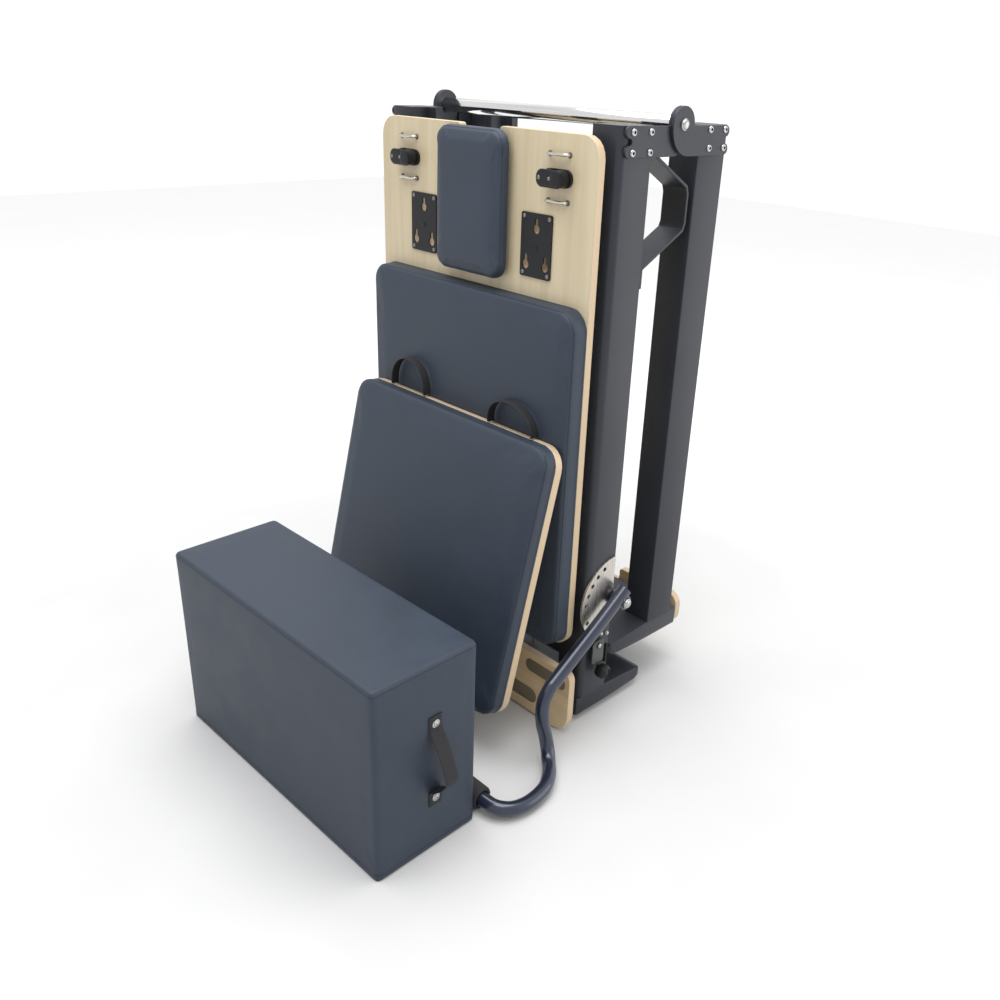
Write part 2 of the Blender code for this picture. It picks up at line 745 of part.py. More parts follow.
def hinge_outline(inset):
    """Plate on the front rail with two ears at its front edge and a round end about the pivot."""
    bottom = RAIL_TOP - HINGE_PLATE_HEIGHT
    ear = HINGE_EAR_RADIUS
    corner = HINGE_CORNER_RADIUS
    scallop = HINGE_PLATE_HEIGHT / 2 - 2 * ear
    drop = math.degrees(math.asin((PIVOT_RAISE + 0.001) / KNUCKLE_RADIUS))
    outline = arc((PIVOT_Y + KNUCKLE_RADIUS - corner, bottom + corner), corner, 270, 360, 8)
    outline += arc((PIVOT_Y, PIVOT_Z), KNUCKLE_RADIUS, 0, 180 + drop, 16)
    outline += arc((inset + ear, RAIL_TOP - ear), ear, 90, 270, 6)
    middle = RAIL_TOP - HINGE_PLATE_HEIGHT / 2
    outline += arc((inset + ear + HINGE_SCALLOP_INSET, middle), scallop, 90, -90, 4)
    outline += arc((inset + ear, bottom + ear), ear, 90, 270, 6)
    return outline


def hinge_plate(inset, inner, outer):
    hole = circle((PIVOT_Y, PIVOT_Z), HINGE_PIN_RADIUS + PIN_HOLE_GAP)
    return extruded([hinge_outline(inset), hole], "X", inner, outer)


def rear_hinge_plate():
    """Plate outside the front one, thick where it lies on the rear rail."""
    thin = hinge_plate(REAR_HINGE_PLATE_INSET, REAR_PLATE_INNER, REAR_PLATE_OUTER)
    end = PIVOT_Y - KNUCKLE_RADIUS - HINGE_PAD_CLEARANCE
    outline = hinge_outline(REAR_HINGE_PLATE_INSET)
    pad = [point for point in outline if point[0] < REAR_HINGE_PLATE_INSET + RAIL_DEPTH / 2]
    pad = [(end, RAIL_TOP - HINGE_PLATE_HEIGHT), (end, RAIL_TOP)] + pad
    thick = extruded([pad], "X", PLATE_INNER, REAR_PLATE_INNER + 0.001)
    return to_rear_half(joined(thin, thick))


def hinge_pin():
    head = rod("X", (PIVOT_Y, PIVOT_Z), PIN_HEAD_RADIUS, REAR_PLATE_OUTER + RUNNING_GAP,
               REAR_PLATE_OUTER + RUNNING_GAP + PIN_HEAD_THICKNESS)
    shank = rod("X", (PIVOT_Y, PIVOT_Z), HINGE_PIN_RADIUS, HALF_WIDTH - 0.03,
                REAR_PLATE_OUTER + RUNNING_GAP + PIN_HEAD_THICKNESS / 2)
    return joined(head, shank)


def build_hinges(root, rear, paint, chrome, steel):
    front_right = hinge_plate(HINGE_PLATE_INSET, PLATE_INNER, PLATE_OUTER)
    front_left = mirrored(hinge_plate(HINGE_PLATE_INSET, PLATE_INNER, PLATE_OUTER))
    add_node("front_hinge_plate_right", front_right, paint, root)
    add_node("front_hinge_plate_left", front_left, paint, root)
    add_node("rear_hinge_plate_right", rear_hinge_plate(), paint, rear)
    add_node("rear_hinge_plate_left", mirrored(rear_hinge_plate()), paint, rear)
    add_node("hinge_pin_right", hinge_pin(), steel, root)
    add_node("hinge_pin_left", mirrored(hinge_pin()), steel, root)
    centre = (PIVOT_Y, PIVOT_Z)
    loops = [circle(centre, ROD_RADIUS, 24), circle(centre, ROD_RADIUS - ROD_WALL, 24)]
    add_node("hinge_rod", extruded(loops, "X", -HALF_WIDTH, HALF_WIDTH), chrome, root)


def open_box_tube(low, high, start, end):
    """Square tube along X, given by its corners in Y and Z."""
    wall = BRACKET_WALL
    outer = rounded_rectangle(low, high, [0.002] * 4, 1)
    inner_low = (low[0] + wall, low[1] + wall)
    inner_high = (high[0] - wall, high[1] - wall)
    inner = rounded_rectangle(inner_low, inner_high, [0.0005] * 4, 1)
    return extruded([outer, inner], "X", start, end)


def build_platform(root, wood, paint):
    half = PLATFORM_WIDTH / 2
    radii = (PLATFORM_TOP_RADIUS, PLATFORM_TOP_RADIUS, PLATFORM_BOTTOM_RADIUS, PLATFORM_BOTTOM_RADIUS)
    outline = rounded_rectangle((-half, PLATFORM_BOTTOM), (half, PLATFORM_TOP), radii, 6)
    front = -PLATFORM_STANDOFF - PLYWOOD
    add_node("foot_platform", extruded([outline], "Y", front, front + PLYWOOD), wood, root)
    reach = PLATFORM_BRACKET_WIDTH / 2
    low = (-PLATFORM_STANDOFF + CONTACT_GAP, PLATFORM_BRACKET_BOTTOM)
    high = (-CONTACT_GAP, PLATFORM_BRACKET_TOP)
    add_node("platform_bracket", open_box_tube(low, high, -reach, reach), paint, root)


def build_head_board(rear, wood, paint):
    half = HEAD_BOARD_WIDTH / 2
    notch = HEAD_NOTCH_WIDTH / 2
    floor = HEAD_BOARD_TOP - HEAD_NOTCH_DEPTH
    corner = HEAD_BOARD_CORNER
    lip = HEAD_NOTCH_LIP_RADIUS
    bend = HEAD_NOTCH_FLOOR_RADIUS
    outline = arc((half - corner, HEAD_BOARD_TOP - corner), corner, 0, 90, 5)
    outline += arc((notch + lip, HEAD_BOARD_TOP - lip), lip, 90, 180, 3)
    outline += arc((notch - bend, floor + bend), bend, 0, -90, 3)
    outline += arc((-notch + bend, floor + bend), bend, 270, 180, 3)
    outline += arc((-notch - lip, HEAD_BOARD_TOP - lip), lip, 0, 90, 3)
    outline += arc((-half + corner, HEAD_BOARD_TOP - corner), corner, 90, 180, 5)
    outline += arc((-half + corner, HEAD_BOARD_BOTTOM + corner), corner, 180, 270, 5)
    outline += arc((half - corner, HEAD_BOARD_BOTTOM + corner), corner, 270, 360, 5)
    add_node("head_board", extruded([outline], "Y", HEAD_BOARD_FRONT, HEAD_BOARD_BACK), wood, rear)
    reach = HEAD_BRACKET_WIDTH / 2
    bottom = REAR_LEG_TOP - LEG_THICKNESS + 0.005
    low = (REAR_LEG_BACK + CONTACT_GAP, bottom)
    high = (HEAD_BOARD_FRONT - CONTACT_GAP, bottom + HEAD_BRACKET_HEIGHT)
    add_node("head_board_bracket", open_box_tube(low, high, -reach, reach), paint, rear)


def keyhole(centre):
    """Round hole with a slot above it."""
    half = KEYHOLE_SLOT_WIDTH / 2
    lean = math.degrees(math.acos(half / KEYHOLE_RADIUS))
    outline = arc(centre, KEYHOLE_RADIUS, 180 - lean, 360 + lean, 10)
    outline += arc((centre[0], centre[1] + KEYHOLE_SLOT_LENGTH), half, 0, 180, 4)
    return outline


def build_carriage_board(carriage, wood, paint):
    half = BOARD_WIDTH / 2
    notch = BOARD_NOTCH_WIDTH / 2
    floor = BOARD_TOP - BOARD_NOTCH_DEPTH
    corner = BOARD_CORNER
    lip = BOARD_NOTCH_LIP_RADIUS
    bend = BOARD_NOTCH_FLOOR_RADIUS
    outline = arc((half - corner, BOARD_TOP - corner), corner, 0, 90, 5)
    outline += arc((notch + lip, BOARD_TOP - lip), lip, 90, 180, 2)
    outline += arc((notch - bend, floor + bend), bend, 0, -90, 3)
    outline += arc((-notch + bend, floor + bend), bend, 270, 180, 3)
    outline += arc((-notch - lip, BOARD_TOP - lip), lip, 0, 90, 2)
    outline += arc((-half + corner, BOARD_TOP - corner), corner, 90, 180, 5)
    outline += arc((-half + corner, BOARD_BOTTOM + corner), corner, 180, 270, 5)
    outline += arc((half - corner, BOARD_BOTTOM + corner), corner, 270, 360, 5)
    loops = [outline]
    for side in (-1, 1):
        for across, up in KEYHOLES:
            centre = (side * SOCKET_X + across, SOCKET_Z + up + KEYHOLE_SLOT_LENGTH / 2)
            reach = KEYHOLE_SLOT_LENGTH / 2 + SOCKET_BORE_RADIUS
            loops.append(
                rounded_rectangle(
                    (centre[0] - SOCKET_BORE_RADIUS, centre[1] - reach),
                    (centre[0] + SOCKET_BORE_RADIUS, centre[1] + reach),
                    [SOCKET_BORE_RADIUS - 0.0005] * 4,
                    3,
                )
            )
    add_node("carriage_board", extruded(loops, "Y", BOARD_FRONT, BOARD_BACK), wood, carriage)
    for side, name in ((-1, "left"), (1, "right")):
        x = side * SOCKET_X
        plate = rounded_rectangle(
            (x - SOCKET_WIDTH / 2, SOCKET_Z - SOCKET_HEIGHT / 2),
            (x + SOCKET_WIDTH / 2, SOCKET_Z + SOCKET_HEIGHT / 2),
            [0.004] * 4,
            2,
        )
        holes = [keyhole((x + across, SOCKET_Z + up)) for across, up in KEYHOLES]
        front = PAD_BACK - SOCKET_THICKNESS
        shape = extruded([plate] + holes, "Y", front, PAD_BACK)
        add_node("socket_plate_" + name, shape, paint, carriage)


def build_pads(carriage, headrest, leather):
    height = PAD_TOP - PAD_BOTTOM
    pad = cushion(PAD_WIDTH, height, PAD_THICKNESS, PAD_CORNER, CUSHION_EDGE, PAD_CROWN, 0.003)
    bmesh.ops.translate(pad, verts=pad.verts, vec=(0.0, PAD_BACK, (PAD_TOP + PAD_BOTTOM) / 2))
    add_node("carriage_pad", pad, leather, carriage, 50.0)
    rest = cushion(
        HEADREST_WIDTH, HEADREST_HEIGHT, HEADREST_THICKNESS, HEADREST_CORNER, CUSHION_EDGE, PAD_CROWN,
        0.002, HEADREST_LIFT, HEADREST_BACKING_INSET,
    )
    middle = (HEADREST_TOP + HEADREST_BOTTOM) / 2
    bmesh.ops.translate(rest, verts=rest.verts, vec=(0.0, PAD_BACK, middle))
    add_node("headrest", rest, leather, headrest, 50.0)


def beam(height):
    """Strap under the board whose ends turn down to carry two stub axles."""
    top = BOARD_BACK + CONTACT_GAP
    deep = AXLE_DEPTH + 0.011
    outer = HANGER_OUTER
    inner = outer - BEAM_THICKNESS
    outline = [
        (-outer, top), (outer, top), (outer, deep), (inner, deep),
        (inner, top + BEAM_THICKNESS), (-inner, top + BEAM_THICKNESS), (-inner, deep), (-outer, deep),
    ]
    strap = extruded([outline], "Z", height - BEAM_WIDTH / 2, height + BEAM_WIDTH / 2)
    axles = []
    for side in (-1, 1):
        ends = sorted((side * (outer - BEAM_THICKNESS / 2), side * (WHEEL_OUTER + 0.004)))
        axles.append(rod("X", (AXLE_DEPTH, height), AXLE_RADIUS, ends[0], ends[1], 12))
    return joined(strap, *axles)


def build_rolling_gear(carriage, wheels, paint, plastic):
    web_reach = HANGER_OUTER - BEAM_THICKNESS / 2
    web_level = LOWER_BEAM_HEIGHT - BEAM_WIDTH / 2
    web = block(
        (-web_reach, BOARD_BACK + CONTACT_GAP + BEAM_THICKNESS / 2, web_level),
        (web_reach, SPRING_DEPTH + 0.012, web_level + HOOK_PLATE_THICKNESS),
    )
    add_node("carriage_beam_lower", joined(beam(LOWER_BEAM_HEIGHT), web), paint, carriage)
    add_node("carriage_beam_upper", beam(UPPER_BEAM_HEIGHT), paint, carriage)
    for name, (side, height, hub) in wheels.items():
        ends = sorted((side * WHEEL_INNER, side * WHEEL_OUTER))
        loops = [
            circle((AXLE_DEPTH, height), WHEEL_RADIUS, 28),
            circle((AXLE_DEPTH, height), AXLE_RADIUS + PIN_HOLE_GAP, 16),
        ]
        add_node(name, extruded(loops, "X", ends[0], ends[1]), plastic, hub)


def spring_route(x, bottom, top):
    """Helix between two short straight ends."""
    straight = 2 * SPRING_WIRE_RADIUS
    count = SPRING_CURLS * SPRING_CURL_POINTS
    route = [(x + SPRING_COIL_RADIUS, SPRING_DEPTH, bottom)]
    for index in range(count + 1):
        angle = 2 * math.pi * index / SPRING_CURL_POINTS
        height = bottom + straight + (top - bottom - 2 * straight) * index / count
        route.append((
            x + SPRING_COIL_RADIUS * math.cos(angle),
            SPRING_DEPTH + SPRING_COIL_RADIUS * math.sin(angle),
            height,
        ))
    route.append((x + SPRING_COIL_RADIUS, SPRING_DEPTH, top))
    return route


def least_curl_gap(route):
    """Least free distance between stretches of wire that are a curl apart."""
    points = [Vector(point) for point in route]
    least = min(
        (first - second).length
        for index, first in enumerate(points)
        for second in points[index + SPRING_CURL_POINTS // 2:]
    )
    return least - 2 * SPRING_WIRE_RADIUS


def build_springs(root, steel, paint):
    reach = RAIL_INNER - CONTACT_GAP
    low = (SPRING_DEPTH - SPRING_BAR_DEPTH / 2, SPRING_BAR_TOP - SPRING_BAR_HEIGHT)
    high = (SPRING_DEPTH + SPRING_BAR_DEPTH / 2, SPRING_BAR_TOP)
    add_node("spring_bar", open_box_tube(low, high, -reach, reach), paint, root)
    bottom = SPRING_BAR_TOP + CONTACT_GAP
    top = LOWER_BEAM_HEIGHT - BEAM_WIDTH / 2 - CONTACT_GAP
    for index, x in enumerate(SPRING_POSITIONS):
        route = spring_route(x, bottom, top)
        add_node(f"spring_{index + 1}", swept(route, SPRING_WIRE_RADIUS, 6), steel, root, 60.0)
    print("least gap between spring curls in metres:", round(least_curl_gap(route), 4))


def cleat_base(x):
    """Plate with two capped posts."""
    outline = rounded_rectangle(
        (x - CLEAT_LENGTH / 2, CLEAT_Z - CLEAT_WIDTH / 2),
        (x + CLEAT_LENGTH / 2, CLEAT_Z + CLEAT_WIDTH / 2),
        [CLEAT_WIDTH / 2 - 0.0005] * 4,
        5,
    )
    plate_front = PAD_BACK - CLEAT_BASE
    cam_front = plate_front - CAM_HEIGHT - 2 * RUNNING_GAP
    shape = extruded([outline], "Y", plate_front, PAD_BACK)
    for side in (-1, 1):
        centre = (x + side * CAM_SPACING / 2, CLEAT_Z)
        shape = joined(
            shape,
            rod("Y", centre, CAM_POST_RADIUS, cam_front - CAM_CAP_THICKNESS / 2, plate_front + 0.002, 12),
            rod("Y", centre, CAM_CAP_RADIUS, cam_front - CAM_CAP_THICKNESS, cam_front),
        )
    return shape


def cam(hub_x, towards):
    """Cam with a nose that reaches into the throat."""
    centre = (hub_x, CLEAT_Z)
    nose = (hub_x + towards * (CAM_NOSE - 0.005), CLEAT_Z)
    facing = 0 if towards > 0 else 180
    outline = arc(centre, CAM_RADIUS, facing + 60, facing + 300, 14)
    outline += arc(nose, 0.005, facing - 60, facing + 60, 4)
    bore = circle(centre, CAM_POST_RADIUS + PIN_HOLE_GAP, 12)
    back = PAD_BACK - CLEAT_BASE - RUNNING_GAP
    return extruded([outline, bore], "Y", back - CAM_HEIGHT, back)


def rope_loop(x, z):
    """Staple of round wire standing on the board."""
    half = LOOP_SPAN / 2
    back = PAD_BACK
    front = back - LOOP_HEIGHT + LOOP_WIRE_RADIUS
    bend = LOOP_BEND_RADIUS
    route = [(x - half, back, z)]
    route += [(x + u, y, z) for u, y in arc((-half + bend, front + bend), bend, 180, 270, 3)]
    route += [(x + u, y, z) for u, y in arc((half - bend, front + bend), bend, 270, 360, 3)]
    route.append((x + half, back, z))
    return swept(route, LOOP_WIRE_RADIUS, 8)


def build_cleats(carriage, cams, plastic, steel):
    for side, name in ((-1, "left"), (1, "right")):
        x = side * CLEAT_X
        add_node("cleat_base_" + name, cleat_base(x), plastic, carriage)
        add_node("rope_loop_upper_" + name, rope_loop(x, CLEAT_Z + LOOP_RISE), steel, carriage, 60.0)
        add_node("rope_loop_lower_" + name, rope_loop(x, CLEAT_Z - LOOP_RISE), steel, carriage, 60.0)
    for name, (hub_x, towards, hub) in cams.items():
        add_node(name, cam(hub_x, towards), plastic, hub)


def index_plate():
    """Sector round the footbar pivot, with locking holes and the pivot bolt."""
    centre = (FOOTBAR_PIVOT_Y, FOOTBAR_PIVOT_Z)
    edge = RAIL_DEPTH - INDEX_EDGE_INSET
    opening = math.degrees(math.acos((edge - centre[0]) / INDEX_RADIUS))
    outline = arc(centre, INDEX_RADIUS, opening, 180 + INDEX_LOWER_ANGLE, 22)
    lug = math.degrees(math.acos((edge - centre[0]) / INDEX_LUG_RADIUS))
    outline += arc(centre, INDEX_LUG_RADIUS, INDEX_LOWER_ANGLE - 180 + 60, lug, 8)
    loops = [outline]
    for index in range(INDEX_HOLE_COUNT):
        angle = math.radians(180 - INDEX_FIRST_ANGLE + INDEX_HOLE_PITCH * index)
        across = centre[0] + INDEX_HOLE_RING * math.cos(angle)
        up = centre[1] + INDEX_HOLE_RING * math.sin(angle)
        loops.append(circle((across, up), INDEX_HOLE_RADIUS, 12))
    plate = extruded(loops, "X", INDEX_INNER, INDEX_OUTER)
    head_start = FOOTBAR_BOSS_OUTER + RUNNING_GAP
    head_end = head_start + FOOTBAR_BOLT_HEAD_THICKNESS
    shank = rod("X", centre, FOOTBAR_BOLT_RADIUS, INDEX_OUTER - 0.002, head_start + 0.001)
    head = rod("X", centre, FOOTBAR_BOLT_HEAD_RADIUS, head_start, head_end)
    return joined(plate, shank, head)


def build_footbar(root, bar, paint, steel, foam):
    add_node("index_plate_right", index_plate(), steel, root)
    add_node("index_plate_left", mirrored(index_plate()), steel, root)
    right = smooth_route([(HALF_WIDTH + out, y, z) for out, y, z in FOOTBAR_ROUTE], 2)
    left = [Vector((-point.x, point.y, point.z)) for point in reversed(right)]
    tube = swept(right + left, FOOTBAR_TUBE_RADIUS, 10)
    centre = (FOOTBAR_PIVOT_Y, FOOTBAR_PIVOT_Z)
    for side in (-1, 1):
        ends = sorted((side * FOOTBAR_BOSS_INNER, side * FOOTBAR_BOSS_OUTER))
        bores = sorted((side * (FOOTBAR_BOSS_INNER - 0.01), side * (FOOTBAR_BOSS_OUTER + 0.02)))
        boss = rod("X", centre, FOOTBAR_BOSS_RADIUS, ends[0], ends[1], 20)
        bore = rod("X", centre, FOOTBAR_BOLT_RADIUS + PIN_HOLE_GAP, bores[0], bores[1])
        seats = sorted((side * FOOTBAR_BOSS_OUTER, side * (FOOTBAR_BOSS_OUTER + 0.02)))
        seat = rod("X", centre, FOOTBAR_BOLT_HEAD_RADIUS + PIN_HOLE_GAP, seats[0], seats[1])
        tube = cut(joined(tube, boss), bore, seat)
    add_node("footbar", tube, paint, bar, 50.0)
    end = FOOTBAR_ROUTE[-1]
    loops = [
        circle((end[1], end[2]), FOOTBAR_GRIP_RADIUS, 20),
        circle((end[1], end[2]), FOOTBAR_TUBE_RADIUS + FOOTBAR_GRIP_GAP, 20),
    ]
    reach = FOOTBAR_GRIP_LENGTH / 2
    add_node("footbar_grip", extruded(loops, "X", -reach, reach), foam, bar)


def ball(centre, radius, rings=6, count=12):
    layers = []
    for index in range(rings + 1):
        angle = math.pi * (index + 0.5) / (rings + 1)
        layer = []
        for step in range(count):
            turn = 2 * math.pi * step / count
            spread = radius * math.sin(angle)
            layer.append(Vector((
                centre[0] + spread * math.cos(turn),
                centre[1] + spread * math.sin(turn),
                centre[2] - radius * math.cos(angle),
            )))
        layers.append(layer)
    return lofted(layers)


def build_latch(root, lever, paint, steel, plastic):
    outline = rounded_rectangle(
        (LATCH_Y - LATCH_BASE_WIDTH / 2, LATCH_BASE_BOTTOM),
        (LATCH_Y + LATCH_BASE_WIDTH / 2, LATCH_BASE_TOP),
        [0.006] * 4,
        3,
    )
    base_outer = INDEX_INNER + LATCH_BASE_THICKNESS
    plate = extruded([outline], "X", INDEX_INNER, base_outer)
    lever_outer = LATCH_LEVER_INNER + LATCH_LEVER_THICKNESS
    centre = (LATCH_Y, LATCH_Z)
    stud_end = lever_outer + LATCH_HEAD_THICKNESS
    stud = rod("X", centre, LATCH_STUD_RADIUS, base_outer - 0.001, lever_outer + 0.002, 12)
    head = rod("X", centre, LATCH_HEAD_RADIUS, lever_outer + RUNNING_GAP, stud_end, 12)
    add_node("latch_base", joined(plate, stud, head), paint, root)
    half = LATCH_LEVER_WIDTH / 2
    arm = rounded_rectangle(
        (LATCH_Y - half, LATCH_Z - LATCH_LEVER_LENGTH), (LATCH_Y + half, LATCH_Z + 0.012), [0.009] * 4, 3
    )
    bore = circle((LATCH_Y, LATCH_Z), LATCH_STUD_RADIUS + PIN_HOLE_GAP, 12)
    shape = extruded([arm, bore], "X", LATCH_LEVER_INNER, lever_outer)
    knob_x = lever_outer + KNOB_RADIUS * 0.6
    knob = ball((knob_x, LATCH_Y + 0.008, LATCH_Z - KNOB_DROP), KNOB_RADIUS)
    stem = block(
        (LATCH_LEVER_INNER, LATCH_Y, LATCH_Z - KNOB_DROP + 0.004),
        (lever_outer, LATCH_Y + 0.016, LATCH_Z - LATCH_LEVER_LENGTH + 0.004),
    )
    add_node("latch_lever", joined(shape, stem, knob), plastic, lever)


def build_jump_board(board, wood, leather, paint, webbing):
    """Everything here is drawn in the leaning board's own frame, front towards minus Y."""
    half = JUMP_WIDTH / 2
    outline = rounded_rectangle((-half, 0.0), (half, JUMP_LENGTH), [JUMP_CORNER] * 4, 6)
    add_local_node("jump_board", extruded([outline], "Y", -PLYWOOD, 0.0), wood, board)
    pad = cushion(
        JUMP_WIDTH - 2 * JUMP_PAD_MARGIN, JUMP_LENGTH - 2 * JUMP_PAD_MARGIN, JUMP_PAD_THICKNESS,
        JUMP_CORNER - JUMP_PAD_MARGIN, CUSHION_EDGE, PAD_CROWN, 0.003,
    )
    bmesh.ops.translate(pad, verts=pad.verts, vec=(0.0, -PLYWOOD - CONTACT_GAP, JUMP_LENGTH / 2))
    add_local_node("jump_board_pad", pad, leather, board, 50.0)
    tilt = math.radians(JUMP_TILT)
    post_y = CONTACT_GAP + JUMP_POST_RADIUS
    drop = (JUMP_FOOT_Z - 0.0005 - 2 * JUMP_POST_RADIUS * math.sin(tilt)) / math.cos(tilt)
    posts = []
    for side in (-1, 1):
        posts.append(rod("Z", (side * JUMP_POST_X, post_y), JUMP_POST_RADIUS, -drop, JUMP_POST_UP))
    middle = JUMP_POST_UP / 2
    plate = block(
        (-JUMP_POST_X, CONTACT_GAP, middle - JUMP_PLATE_HEIGHT / 2),
        (JUMP_POST_X, CONTACT_GAP + JUMP_PLATE_THICKNESS, middle + JUMP_PLATE_HEIGHT / 2),
    )
    add_local_node("jump_board_posts", joined(plate, *posts), paint, board)
    loop_y = -PLYWOOD * 0.75
    for index, (centre, width, height) in enumerate(JUMP_LOOPS):
        rise = CONTACT_GAP + JUMP_LOOP_WIDTH / 2 * math.tan(tilt)
        path = [(u * width / 2, v * height) for u, v in arc((0.0, 0.0), 1.0, 0, 180, 14)]
        shape = extruded([ribbon(path, WEBBING)], "Y", -JUMP_LOOP_WIDTH / 2, JUMP_LOOP_WIDTH / 2)
        name = "jump_board_loop_" + ("left", "right")[index]
        loop = add_local_node(name, shape, webbing, board)
        loop.location = (centre, loop_y, JUMP_LENGTH + rise)
        loop.rotation_euler = (tilt, 0.0, 0.0)


def build_box(box, leather, webbing):
    top = BOX_HEIGHT - BOX_CROWN
    levels = (
        (0.0, BOX_EDGE / 2, 0.0),
        (BOX_EDGE / 2, 0.0, 0.0),
        (top * 0.25, 0.0, 0.9),
        (top * 0.5, 0.0, 1.0),
        (top * 0.75, 0.0, 0.9),
        (top - BOX_EDGE, 0.0, 0.0),
        (top - BOX_EDGE * 0.3, BOX_EDGE * 0.3, 0.0),
        (top, BOX_EDGE, 0.0),
    )
    rings = []
    for height, inset, bulge in levels:
        ring = cushion_ring(BOX_LENGTH, BOX_DEPTH, BOX_CORNER, -BOX_CROWN * bulge, inset)
        rings.append([Vector((u, v, height)) for u, v in ring])
    outer = cushion_ring(BOX_LENGTH, BOX_DEPTH, BOX_CORNER, 0.0, BOX_EDGE)
    for share in (0.85, 0.5, 0.2):
        height = top + BOX_CROWN * (1 - share**2)
        rings.append([Vector((u * share, v * share, height)) for u, v in outer])
    body = lofted(rings)
    bmesh.ops.translate(body, verts=body.verts, vec=(BOX_X, BOX_Y, 0.0))
    add_node("sitting_box", body, leather, box, 50.0)
    face = BOX_X + BOX_LENGTH / 2 + BOX_CROWN + CONTACT_GAP + WEBBING / 2
    span = HANDLE_TOP - HANDLE_BOTTOM
    path = [(face, HANDLE_TOP + HANDLE_TAB), (face, HANDLE_TOP - HANDLE_TAB)]
    for step in range(1, 8):
        share = step / 8
        height = HANDLE_TOP - HANDLE_TAB - (span - 2 * HANDLE_TAB) * share
        path.append((face + HANDLE_BOW * math.sin(math.pi * share) ** 0.8, height))
    path += [(face, HANDLE_BOTTOM + HANDLE_TAB), (face, HANDLE_BOTTOM - HANDLE_TAB)]
    front = BOX_Y + HANDLE_OFFSET - HANDLE_WIDTH / 2
    strap = extruded([ribbon(path, WEBBING)], "Y", front, front + HANDLE_WIDTH)
    add_node("box_handle", strap, webbing, box)


def main():
    remove_scene_objects()
    paint = finish("graphite_paint", (0.045, 0.05, 0.065), 0.45, 0.2)
    bar_paint = finish("footbar_paint", (0.06, 0.075, 0.105), 0.25, 0.3)
    chrome = finish("chrome", (0.8, 0.8, 0.8), 0.08, 1.0)
    steel = finish("brushed_steel", (0.6, 0.58, 0.54), 0.3, 1.0)
    wood = finish("light_plywood", (0.72, 0.6, 0.4), 0.45, 0.0)
    leather = finish("slate_leatherette", (0.065, 0.083, 0.11), 0.5, 0.0)
    black = finish("black_plastic", (0.012, 0.012, 0.013), 0.4, 0.0)
    rubber = finish("black_rubber", (0.015, 0.015, 0.015), 0.8, 0.0)
    foam = finish("black_foam", (0.01, 0.01, 0.01), 0.9, 0.0)
    webbing = finish("black_webbing", (0.01, 0.01, 0.012), 0.75, 0.0)

    machine = anchor("machine", (0.0, -ORIGIN_Y, 0.0))
    rear = anchor("rear_half_pivot", (0.0, PIVOT_Y, PIVOT_Z), machine)
    carriage = anchor("carriage_origin", (0.0, BOARD_BACK, BOARD_BOTTOM), machine)
    headrest = anchor("headrest_pivot", (0.0, PAD_BACK, HEADREST_BOTTOM), carriage)
    bar = anchor("footbar_pivot", (0.0, FOOTBAR_PIVOT_Y, FOOTBAR_PIVOT_Z), machine)
    lever = anchor("latch_pivot", (LATCH_LEVER_INNER, LATCH_Y, LATCH_Z), machine)
    lean = -math.radians(JUMP_TILT)
    jump = anchor("jump_board_origin", (JUMP_X, JUMP_FOOT_Y, JUMP_FOOT_Z), machine, lean)
    box = anchor("box_origin", (BOX_X, BOX_Y, 0.0), machine)
    box.rotation_euler.z = math.radians(BOX_TURN)
    wheels = {}
    for side, side_name in ((-1, "left"), (1, "right")):
        for height, level in ((LOWER_BEAM_HEIGHT, "lower"), (UPPER_BEAM_HEIGHT, "upper")):
            name = f"wheel_{level}_{side_name}"
            point = (side * (WHEEL_INNER + WHEEL_OUTER) / 2, AXLE_DEPTH, height)
            wheels[name] = (side, height, anchor(name + "_axle", point, carriage))
    cams = {}
    for side, side_name in ((-1, "left"), (1, "right")):
        for towards, place in ((1, "a"), (-1, "b")):
            name = f"cleat_cam_{side_name}_{place}"
            hub_x = side * CLEAT_X - towards * CAM_SPACING / 2
            hub = anchor(name + "_post", (hub_x, PAD_BACK - CLEAT_BASE, CLEAT_Z), carriage)
            cams[name] = (hub_x, towards, hub)

    build_rails(machine, rear, paint)
    build_legs(machine, rear, paint, rubber)
    build_middle_legs(machine, paint)
    build_hinges(machine, rear, paint, chrome, steel)
    build_platform(machine, wood, paint)
    build_head_board(rear, wood, paint)
    build_carriage_board(carriage, wood, black)
    build_pads(carriage, headrest, leather)
    build_rolling_gear(carriage, wheels, paint, black)
    build_springs(machine, steel, paint)
    build_cleats(carriage, cams, black, steel)
    build_footbar(machine, bar, bar_paint, steel, foam)
    build_latch(machine, lever, paint, steel, black)
    build_jump_board(jump, wood, leather, paint, webbing)
    build_box(box, leather, webbing)


main()
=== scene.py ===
"""Looks of the folding pilates reformer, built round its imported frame.

Everything is in metres in the frame's own axes. X runs across the machine, its front
faces minus Y and Z is up. Heights and depths that repeat the source's working frame,
whose Y = 0 is the front face of the front rails, are moved by SHIFT.
"""

import json
import math

import bmesh
import bpy
from mathutils import Matrix, Vector
from mathutils.bvhtree import BVHTree
from mathutils.kdtree import KDTree

